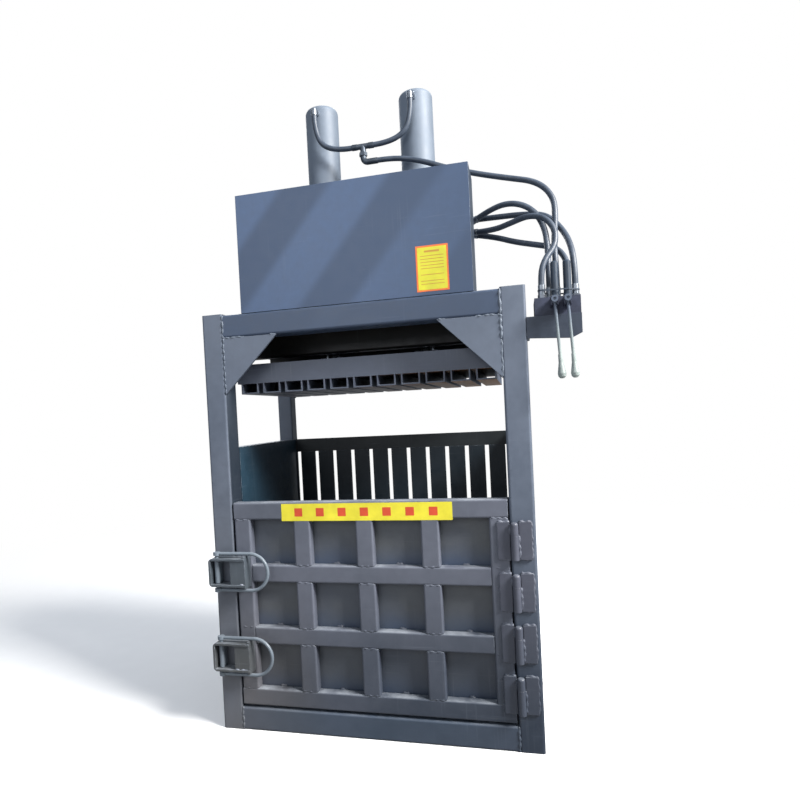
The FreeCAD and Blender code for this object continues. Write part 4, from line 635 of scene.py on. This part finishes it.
def bare_metal(name, colour, dark, gloss, grain, depth, metallic=1.0, upper=None):
    """Mottled metal or plastic; upper gives two heights between which it turns to another colour."""
    material, tree = new_material(name)
    mottle = fill(tree, MOTTLE, {"Base": colour, "Deep": dark, "Patch": METAL_PATCH, "Grain": grain})
    worn_and_lit = fill(tree, WEAR_AND_HIGHLIGHT, {"Width": METAL_EDGE, "Amount": METAL_WEAR})
    shown = mottle["Color"]
    if upper:
        start, full, tint = upper
        shown = mix(tree, ramp(tree, split(tree, object_at(tree))["Z"], start, full), shown, tint)
    surface(tree, shown, gloss_range(tree, mottle, gloss), skin(tree, mottle, depth, worn_and_lit["Normal"]), metallic)
    return material


PLATED_STEEL = bare_metal("plated_steel", srgb(154, 160, 168), srgb(122, 128, 136), (0.3, 0.46), 240.0, 0.0001)
CHROME = bare_metal("rod_chrome", srgb(200, 203, 206), srgb(180, 183, 188), (0.06, 0.14), 500.0, 0.00001)
CASTING = bare_metal("sand_casting", srgb(52, 58, 78), srgb(40, 45, 62), (0.45, 0.6), 420.0, 0.0004, 0.0)
RUBBER = bare_metal("hose_rubber", srgb(66, 76, 90), srgb(54, 64, 78), (0.42, 0.54), 620.0, 0.00025, 0.0)
BLACK_PLASTIC = bare_metal("black_plastic", srgb(42, 56, 72), srgb(36, 48, 62), (0.4, 0.52), 800.0, 0.00006, 0.0)
LEVER_METAL = bare_metal("lever_metal", srgb(150, 160, 158), srgb(130, 140, 138), (0.3, 0.42), 300.0, 0.00005, 0.0,
                         upper=(1.34, 1.50, srgb(88, 98, 114)))
FITTING_STEEL = bare_metal("dark_fitting_steel", srgb(84, 92, 102), srgb(62, 70, 80), (0.4, 0.55), 240.0, 0.0001, 0.6)
print(f"{len(bpy.data.materials)} materials so far")

# %% [markdown]
# The solids come with one slot of material each. A table names the finish for each
# slot, and a second one names the pieces that look different from their neighbours in
# the photograph, such as the hinges or the slats. The darker paint of the top beam and
# the valve bracket is painted shade, and that of the hinges partly.

# %% dress the solids and the hoses
MATERIALS = {
    "frame_paint": FRAME_ENAMEL, "crown_paint": CROWN_ENAMEL, "chamber_steel": CHAMBER_ENAMEL,
    "door_paint": DOOR_ENAMEL, "cylinder_paint": CYLINDER_ENAMEL, "plated_steel": PLATED_STEEL,
    "platen_paint": PLATEN_ENAMEL, "rod_chrome": CHROME, "tank_paint": TANK_ENAMEL,
    "fitting_plastic": BLACK_PLASTIC, "motor_paint": MOTOR_ENAMEL, "pump_casting": CASTING,
    "cap_black": BLACK_PLASTIC, "hose_rubber": RUBBER, "latch_steel": LATCH_ENAMEL, "lever_grey": LEVER_METAL,
}
OWN_FINISH = {
    "door_sheet": PANEL_ENAMEL, "latch_straps": STRAP_ENAMEL, "top_beam_front": BEAM_SHADED_ENAMEL,
    "sill_beam": SILL_ENAMEL, "back_wall_band": BAND_ENAMEL, "back_wall_slats": SLAT_ENAMEL,
    "hinge_post_leaves": HINGE_PARTLY_SHADED_ENAMEL, "hinge_door_leaves": HINGE_PARTLY_SHADED_ENAMEL, "hinge_pins": HINGE_PARTLY_SHADED_ENAMEL,
    "valve_bracket": BRACKET_SHADED_ENAMEL, "hose_tee": FITTING_STEEL,
}
for row in frame["record"]["subparts"]:
    for place in nodes[row["node"]].material_slots:
        place.material = OWN_FINISH.get(row["node"], MATERIALS[row["material_slot"]])
for hose in hoses:
    hose.data.materials.append(RUBBER)
print(f"{len(MATERIALS)} slots dressed, {len(OWN_FINISH)} pieces with a finish of their own")

# %% [markdown]
# Weld beads hold the frame together and show as rippled lines at every joint. A bead
# is a small ring of edges that is extruded along the joint, one ripple at a time, each
# a little larger or smaller than the last. A bump in the paint would vanish from the
# side, and a bead of real shape catches the light. Half of it sinks into the steel.

# %% a rippled bead
RIPPLE = 0.0048
BEAD_SIDES = 8
BEAD_TAPER = 0.5            # of its full size, where a bead starts and stops
SWELL = 0.14
LUMP = 0.32
LUMP_LENGTH = 0.024
WANDER = 0.0012
SWAY_PACE = 0.43            # a bead wanders more slowly than its lumps come
ripple_luck = random.Random(7)


def add_bead(bead, start, end, radius):
    """A rippled bead from start to end: lumps come and go along it, and it wanders a little."""
    run = Vector(end) - Vector(start)
    ripples = max(4, round(run.length / RIPPLE))
    turn = Vector((0, 0, 1)).rotation_difference(run.normalized()).to_matrix().to_4x4()
    ring = bmesh.ops.create_circle(bead, cap_ends=True, segments=BEAD_SIDES, radius=radius * BEAD_TAPER,
                                   matrix=Matrix.Translation(Vector(start)) @ turn)["verts"]
    edges = list({edge for vert in ring for edge in vert.link_edges})
    sway = run.normalized().cross(Vector((0, 1, 0)))
    centre = Vector(start)
    size = BEAD_TAPER
    lump = ripple_luck.uniform(0, math.tau)
    offset = 0.0
    for count in range(ripples):
        lump += math.tau * RIPPLE / LUMP_LENGTH * ripple_luck.uniform(0.5, 1.5)
        wanted = 1.0 + LUMP * math.sin(lump) - SWELL * (count % 2) + ripple_luck.uniform(-SWELL, SWELL) / 2
        shift = WANDER * math.sin(lump * SWAY_PACE)
        if count == ripples - 1:
            wanted, shift = BEAD_TAPER, 0.0
        grown = bmesh.ops.extrude_edge_only(bead, edges=edges)["geom"]
        verts = [part for part in grown if isinstance(part, bmesh.types.BMVert)]
        fresh = set(verts)
        edges = [part for part in grown if isinstance(part, bmesh.types.BMEdge) and set(part.verts) <= fresh]
        step = run / ripples + sway * (shift - offset)
        bmesh.ops.translate(bead, verts=verts, vec=step)
        centre = centre + step
        bmesh.ops.scale(bead, verts=verts, vec=Vector((1, 1, 1)) * (wanted / size), space=Matrix.Translation(-centre))
        size, offset = wanted, shift
    bmesh.ops.contextual_create(bead, geom=edges)


def finish_piece(name, shape, material, body, smooth=True):
    """Turns a bmesh into a named piece that rides on a body."""
    bmesh.ops.recalc_face_normals(shape, faces=shape.faces[:])
    data = bpy.data.meshes.new(name)
    shape.to_mesh(data)
    shape.free()
    for face in data.polygons:
        face.use_smooth = smooth
    data.materials.append(material)
    piece = bpy.data.objects.new(name, data)
    bpy.context.scene.collection.objects.link(piece)
    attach(piece, body)
    print(f"{name}: {len(data.polygons)} faces")


print(f"one ripple each {RIPPLE * 1000:.1f} mm")

# %% [markdown]
# The front of the frame is butt welded: posts to beams, and gussets to both. The
# bead there is nearly flush, and a gusset's long edges are only stitched. The right
# side was welded more heavily, so its beads are thicker.

# %% frame welds
BUTT_SINK = 0.0024          # a flush joint's bead lies partly in the steel
BUTT_BEAD = {-1: 0.0042, 1: 0.0054}     # the right-hand seams are the heavier ones
STITCH_BEAD = 0.0036
STITCH = 0.085              # a gusset's long edge is only stitched at its ends
STITCH_END = 0.004          # a stitch stops this far from a gusset's tip
GUSSET_REACH = 0.217        # along the beam

post_inner, face_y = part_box("front_post_right")[0][:2]
butt_y = face_y + BUTT_SINK
beam_low, beam_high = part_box("top_beam_front")
sill_low, sill_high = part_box("sill_beam")
gusset_low, gusset_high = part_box("corner_gussets")
seam = gusset_high[2]

frame_joints = {side: [((side * post_inner, butt_y, low[2]), (side * post_inner, butt_y, high[2]))
                       for low, high in ((beam_low, beam_high), (sill_low, sill_high))] for side in (-1, 1)}
stitches = []
for side in (-1, 1):
    inner = side * post_inner
    tip = inner - side * GUSSET_REACH
    frame_joints[side].append(((inner, butt_y, seam - STITCH), (inner, butt_y, seam)))
    stitches += [((inner, butt_y, gusset_low[2] + STITCH_END), (inner, butt_y, seam - STITCH)),
                 ((inner, butt_y, seam), (inner - side * STITCH, butt_y, seam)),
                 ((tip + side * STITCH / 3, butt_y, seam), (tip + side * STITCH_END, butt_y, seam))]

beads = bmesh.new()
for side, joints in frame_joints.items():
    for start, end in joints:
        add_bead(beads, start, end, BUTT_BEAD[side])
for start, end in stitches:
    add_bead(beads, start, end, STITCH_BEAD)
finish_piece("frame_welds", beads, WELD_ENAMEL, "frame")

# %% [markdown]
# A weld-on hinge is welded round its leaves, heavily at top and bottom and lighter
# down the long side, and its barrels are run on to the leaves with a bead beside
# them. Those on the door ride on the door, and those on the post stay with the frame,
# so the two sets are collected apart.

# %% hinge welds
HINGE_LOWEST = 0.201
HINGE_PITCH = 0.1767
HINGES = 4
HINGE_HALF = 0.064
LEAF_WIDTH = 0.041
LEAF_THICKNESS = 0.008
LEAF_BEAD = 0.0056
LEAF_SIDE_BEAD = 0.0042     # the long sides have the lighter run
AXIS_TO_LEAF = 0.0155
KNUCKLE = 0.0145            # from the hinge's axis to the bead beside its barrel
KNUCKLE_SPLIT = 0.021       # the barrel parts this far above the hinge's middle
POST_BARREL = (0.005, 0.003, 0.005)     # gap at the barrel's foot, gap at the split, bead
DOOR_BARREL = (0.004, 0.014, 0.0045)    # gap at the split, gap at the domed top, bead


def lines_round(x, z, sides):
    """Joint lines round a plate on the front face: named sides of a rectangle."""
    corners = {"top": ((x[0], face_y, z[1]), (x[1], face_y, z[1])),
               "bottom": ((x[0], face_y, z[0]), (x[1], face_y, z[0])),
               "left": ((x[0], face_y, z[0]), (x[0], face_y, z[1])),
               "right": ((x[1], face_y, z[0]), (x[1], face_y, z[1]))}
    return [corners[side] for side in sides]


def weld_leaf(shape, x, span, outer):
    for start, end in lines_round(x, span, ("top", "bottom")):
        add_bead(shape, start, end, LEAF_BEAD)
    for start, end in lines_round(x, span, (outer,)):
        add_bead(shape, start, end, LEAF_SIDE_BEAD)


post_leaf_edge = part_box("hinge_post_leaves")[1][0]
door_leaf_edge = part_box("hinge_door_leaves")[0][0]
hinge_x = post_leaf_edge - LEAF_WIDTH - AXIS_TO_LEAF
barrel_y = face_y - LEAF_THICKNESS
post_beads = bmesh.new()
door_beads = bmesh.new()
for count in range(HINGES):
    middle = HINGE_LOWEST + HINGE_PITCH * count
    span = (middle - HINGE_HALF, middle + HINGE_HALF)
    split_z = middle + KNUCKLE_SPLIT
    weld_leaf(post_beads, (post_leaf_edge - LEAF_WIDTH, post_leaf_edge), span, "right")
    weld_leaf(door_beads, (door_leaf_edge, door_leaf_edge + LEAF_WIDTH), span, "left")
    add_bead(post_beads, (hinge_x + KNUCKLE, barrel_y, span[0] + POST_BARREL[0]),
             (hinge_x + KNUCKLE, barrel_y, split_z - POST_BARREL[1]), POST_BARREL[2])
    add_bead(door_beads, (hinge_x - KNUCKLE, barrel_y, split_z + DOOR_BARREL[0]),
             (hinge_x - KNUCKLE, barrel_y, span[1] - DOOR_BARREL[1]), DOOR_BARREL[2])
print(f"{HINGES} hinges welded, axis at x {hinge_x:.4f}")

# %% [markdown]
# A latch is a bent strap round a ring handle's pin, closed by a cover plate. Both legs
# of the strap are welded to the door above and below, and the cover plate has a short
# bead along its foot. The valve's bracket is welded on with one upright seam.

# %% latch and bracket welds
LATCH_MIDDLES = (0.297, 0.6175)
STRAP_HALF = 0.053
STRAP_THICKNESS = 0.008
STRAP_BEAD = 0.0055
STRAP_START = 0.003
LID_REACHES = (0.052, 0.052 / 3)
LID_EDGE = 0.008
LID_STANDOUT = 0.0475
LID_SEAT = 0.0005
LID_BEAD = 0.0045
BRACKET_SEAM_X = 0.600
BRACKET_SEAM_DEPTH = 0.008
BRACKET_SEAM_Z = (1.412, 1.483)
BRACKET_BEAD = 0.004

strap_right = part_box("latch_straps")[1][0]
for middle in LATCH_MIDDLES:
    for side in (-1, 1):
        for inset in (0, STRAP_THICKNESS):
            height = middle + side * STRAP_HALF - side * inset
            add_bead(door_beads, (door_low[0] + STRAP_START, face_y, height), (strap_right, face_y, height), STRAP_BEAD)
lid_right = strap_right - LID_EDGE
lid_y = face_y - LID_STANDOUT
lid_beads = bmesh.new()
for middle, reach in zip(LATCH_MIDDLES, LID_REACHES):
    level = middle - STRAP_HALF + STRAP_THICKNESS + LID_SEAT
    add_bead(lid_beads, (lid_right - reach, lid_y, level), (lid_right, lid_y, level), LID_BEAD)
finish_piece("latch_lid_welds", lid_beads, STRAP_WELD_ENAMEL, "door")
bracket_ends = [(BRACKET_SEAM_X, face_y + BRACKET_SEAM_DEPTH, height) for height in BRACKET_SEAM_Z]
add_bead(post_beads, *bracket_ends, BRACKET_BEAD)
finish_piece("hinge_post_welds", post_beads, HINGE_WELD_ENAMEL, "frame")

# %% [markdown]
# The door's short uprights butt against its rails. Each joint is ground nearly flush,
# which leaves a shallow seam across the tube, and each sheet is tacked to the rail
# below it in the middle of its pocket. The top rail's joints are ground away, except
# at the door's two edges.

# %% door seams
DOOR_COLUMNS = 4
SEAM_SINK = 0.0032          # these are ground down, so little stands proud
SEAM_INSET = 0.005
SEAM_BEAD = 0.004
TOP_RAIL_MARGIN = 0.001     # joints nearer to the top rail than this count as its own
TACK_HALF = 0.012
TACK_STANDOUT = 0.001
TACK_BEAD = 0.0055

door_half = (door_high[0] - door_low[0]) / 2
column_pitch = (2 * door_half - DOOR_TUBE) / DOOR_COLUMNS
top_rail = door_high[2] - DOOR_TUBE
seam_y = face_y + SEAM_SINK
tack_y = door_low[1] - TACK_STANDOUT
for row in range(DOOR_ROWS):
    pocket_low = door_low[2] + row * DOOR_ROW_PITCH + DOOR_TUBE
    pocket_high = pocket_low + DOOR_ROW_PITCH - DOOR_TUBE
    for column in range(DOOR_COLUMNS + 1):
        left = -door_half + column * column_pitch
        for height in (pocket_low, pocket_high):
            if height < top_rail - TOP_RAIL_MARGIN or column in (0, DOOR_COLUMNS):
                add_bead(door_beads, (left + SEAM_INSET, seam_y, height),
                         (left + DOOR_TUBE - SEAM_INSET, seam_y, height), SEAM_BEAD)
    for column in range(DOOR_COLUMNS):
        middle = -door_half + column * column_pitch + DOOR_TUBE + (column_pitch - DOOR_TUBE) / 2
        add_bead(door_beads, (middle - TACK_HALF, tack_y, pocket_low), (middle + TACK_HALF, tack_y, pocket_low),
                 TACK_BEAD)
finish_piece("door_welds", door_beads, DOOR_WELD_ENAMEL, "door")

# %% [markdown]
# Two stickers break up the grey: a tall one on the tank and a long strip on the door.
# The real ones are printed vinyl. This part carries no print, so theirs are plain
# shapes, thin plates one over the other. A sticker is a grid face whose corners are
# clipped round and which is given a thickness, so it keeps its own edge.

# %% sticker vinyl and shape
VINYL_FADED = 0.86
VINYL_GLOSS = 0.35
GLOSS_SPREAD = 0.08
BASE_THICKNESS = 0.0004     # the lowest layer
FIELD_THICKNESS = 0.0002
PRINT_THICKNESS = 0.0001
CORNER = 0.0015


def vinyl(name, colour):
    material, tree = new_material(name)
    faded = tuple(part * VINYL_FADED for part in colour[:3]) + (1.0,)
    mottle = fill(tree, MOTTLE, {"Base": colour, "Deep": faded, "Patch": 9.0, "Grain": 90.0})
    relief = add(tree, "ShaderNodeBump", {"Height": mottle["Height"], "Distance": 0.0001, "Strength": 0.5})
    shine = ramp(tree, mottle["Gloss"], 0.0, 1.0, VINYL_GLOSS - GLOSS_SPREAD, VINYL_GLOSS + GLOSS_SPREAD)
    surface(tree, mottle["Color"], shine, relief.outputs[0])
    return material


YELLOW = vinyl("vinyl_yellow", srgb(226, 214, 58))
LABEL_YELLOW = vinyl("label_yellow", srgb(204, 200, 40))
ORANGE = vinyl("vinyl_orange", srgb(222, 108, 42))
PRINT = vinyl("vinyl_print", srgb(186, 138, 40))
RED = vinyl("vinyl_red", srgb(206, 78, 48))


def sticker(shape, x, z, y, thickness=BASE_THICKNESS, corner=CORNER):
    """A thin plate in the X-Z plane whose back lies at y."""
    lay = Matrix.Translation(((x[0] + x[1]) / 2, y, (z[0] + z[1]) / 2)) @ Matrix.Rotation(math.pi / 2, 4, "X")
    size = Matrix.Diagonal(((x[1] - x[0]) / 2, (z[1] - z[0]) / 2, 1, 1))
    made = bmesh.ops.create_grid(shape, x_segments=1, y_segments=1, size=1, matrix=lay @ size)["verts"]
    rounded = bmesh.ops.bevel(shape, geom=made, offset=corner, segments=3, profile=0.5, affect="VERTICES",
                              material=-1)
    faces = list({item for vert in rounded["verts"] for item in vert.link_faces})
    lifted = bmesh.ops.extrude_face_region(shape, geom=faces)["geom"]
    bmesh.ops.translate(shape, verts=[item for item in lifted if isinstance(item, bmesh.types.BMVert)],
                        vec=(0, -thickness, 0))


print(f"{len(bpy.data.materials)} materials in all")

# %% [markdown]
# The tank's sticker has an orange edge, a yellow field, a short heading and rows of
# fine lines. Each is a plate a fraction of a millimetre above the last, which keeps
# them from flickering into one another.

# %% tank sticker
LABEL_X = (0.236, 0.349)
LABEL_Z = (1.601, 1.760)
LABEL_BORDER = 0.006
HEADING_INSET = 0.030
HEADING_DROP = (0.024, 0.017)
LABEL_ROWS = (0, 1, 2, 3, 4, 6, 8, 9)   # a row or two is left out between the blocks of print
LABEL_BAR_PITCH = 0.0108
BAR_INSET = 0.016
BAR_DROP = 0.036
BAR_HALF = 0.0012
BAR_CORNER = 0.0004


def inside(span, inset):
    """A span that is shorter by inset at both ends."""
    return (span[0] + inset, span[1] - inset)


tank_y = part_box("oil_tank")[0][1]
edge = bmesh.new()
sticker(edge, LABEL_X, LABEL_Z, tank_y)
finish_piece("tank_label_edge", edge, ORANGE, "frame", smooth=False)
field = bmesh.new()
sticker(field, inside(LABEL_X, LABEL_BORDER), inside(LABEL_Z, LABEL_BORDER), tank_y - BASE_THICKNESS,
        FIELD_THICKNESS)
finish_piece("tank_label_field", field, LABEL_YELLOW, "frame", smooth=False)
blocks = bmesh.new()
print_y = tank_y - BASE_THICKNESS - FIELD_THICKNESS
sticker(blocks, inside(LABEL_X, HEADING_INSET), (LABEL_Z[1] - HEADING_DROP[0], LABEL_Z[1] - HEADING_DROP[1]),
        print_y, PRINT_THICKNESS)
for count in LABEL_ROWS:
    level = LABEL_Z[1] - BAR_DROP - count * LABEL_BAR_PITCH
    sticker(blocks, inside(LABEL_X, BAR_INSET), (level - BAR_HALF, level + BAR_HALF), print_y, PRINT_THICKNESS,
            corner=BAR_CORNER)
finish_piece("tank_label_blocks", blocks, PRINT, "frame", smooth=False)

# %% [markdown]
# The strip runs along the door's top rail. Seven red squares stand where the print
# is, spread evenly about the strip's middle, and the whole strip rides on the door.

# %% door strip
STRIP_X = (-0.315, 0.322)
STRIP_Z = (0.803, 0.867)
STRIP_MARKS = 7
STRIP_ENDS = 0.6            # in marks, what is left free at both ends together
MARK = 0.031

strip = bmesh.new()
sticker(strip, STRIP_X, STRIP_Z, face_y)
finish_piece("door_strip_field", strip, YELLOW, "door", smooth=False)
marks = bmesh.new()
mark_pitch = (STRIP_X[1] - STRIP_X[0]) / (STRIP_MARKS + STRIP_ENDS)
strip_middle = (STRIP_Z[0] + STRIP_Z[1]) / 2
for count in range(STRIP_MARKS):
    centre = (STRIP_X[0] + STRIP_X[1]) / 2 + (count - (STRIP_MARKS - 1) / 2) * mark_pitch
    sticker(marks, (centre - MARK / 2, centre + MARK / 2), (strip_middle - MARK / 2, strip_middle + MARK / 2),
            face_y - BASE_THICKNESS, PRINT_THICKNESS)
finish_piece("door_strip_blocks", marks, RED, "door", smooth=False)

# %% [markdown]
# One cable tie holds the hose ends and the valve's caps together. Pulled tight, a tie
# takes the shortest way round a bundle, which is what a convex hull is: a ring round
# each hose end gives the points, and the hull's side faces are given the tie's thickness.

# %% cable tie
TIE_Z = (1.5705, 1.5755)
TIE_THICKNESS = 0.0012
TIE_SLACK = 0.0002
TIE_SIDES = 24
FERRULES = ((708, 108), (682, 96), (766, 80), (654, 44), (747, 130))
FERRULE_RADIUS = 0.012
CAPS = ((698, 60), (739, 60))
CAP_RADIUS = 0.013

tie = bmesh.new()
for spots, reach in ((FERRULES, FERRULE_RADIUS), (CAPS, CAP_RADIUS)):
    for x, depth in spots:
        for level in TIE_Z:
            bmesh.ops.create_circle(tie, segments=TIE_SIDES, radius=(reach + TIE_SLACK) / math.cos(math.pi / TIE_SIDES),
                                    matrix=Matrix.Translation((x / 1000, FRONT + depth / 1000, level)))
hull = bmesh.ops.convex_hull(tie, input=tie.verts[:])
bmesh.ops.delete(tie, geom=[part for part in hull["geom_interior"] if isinstance(part, bmesh.types.BMVert)],
                 context="VERTS")
bmesh.ops.delete(tie, geom=[face for face in tie.faces if abs(face.normal.z) > 0.5], context="FACES")
bmesh.ops.recalc_face_normals(tie, faces=tie.faces[:])
bmesh.ops.solidify(tie, geom=tie.faces[:], thickness=-TIE_THICKNESS)
finish_piece("hose_bundle_tie", tie, BLACK_PLASTIC, "frame", smooth=False)

# %% finish
bpy.context.view_layer.update()
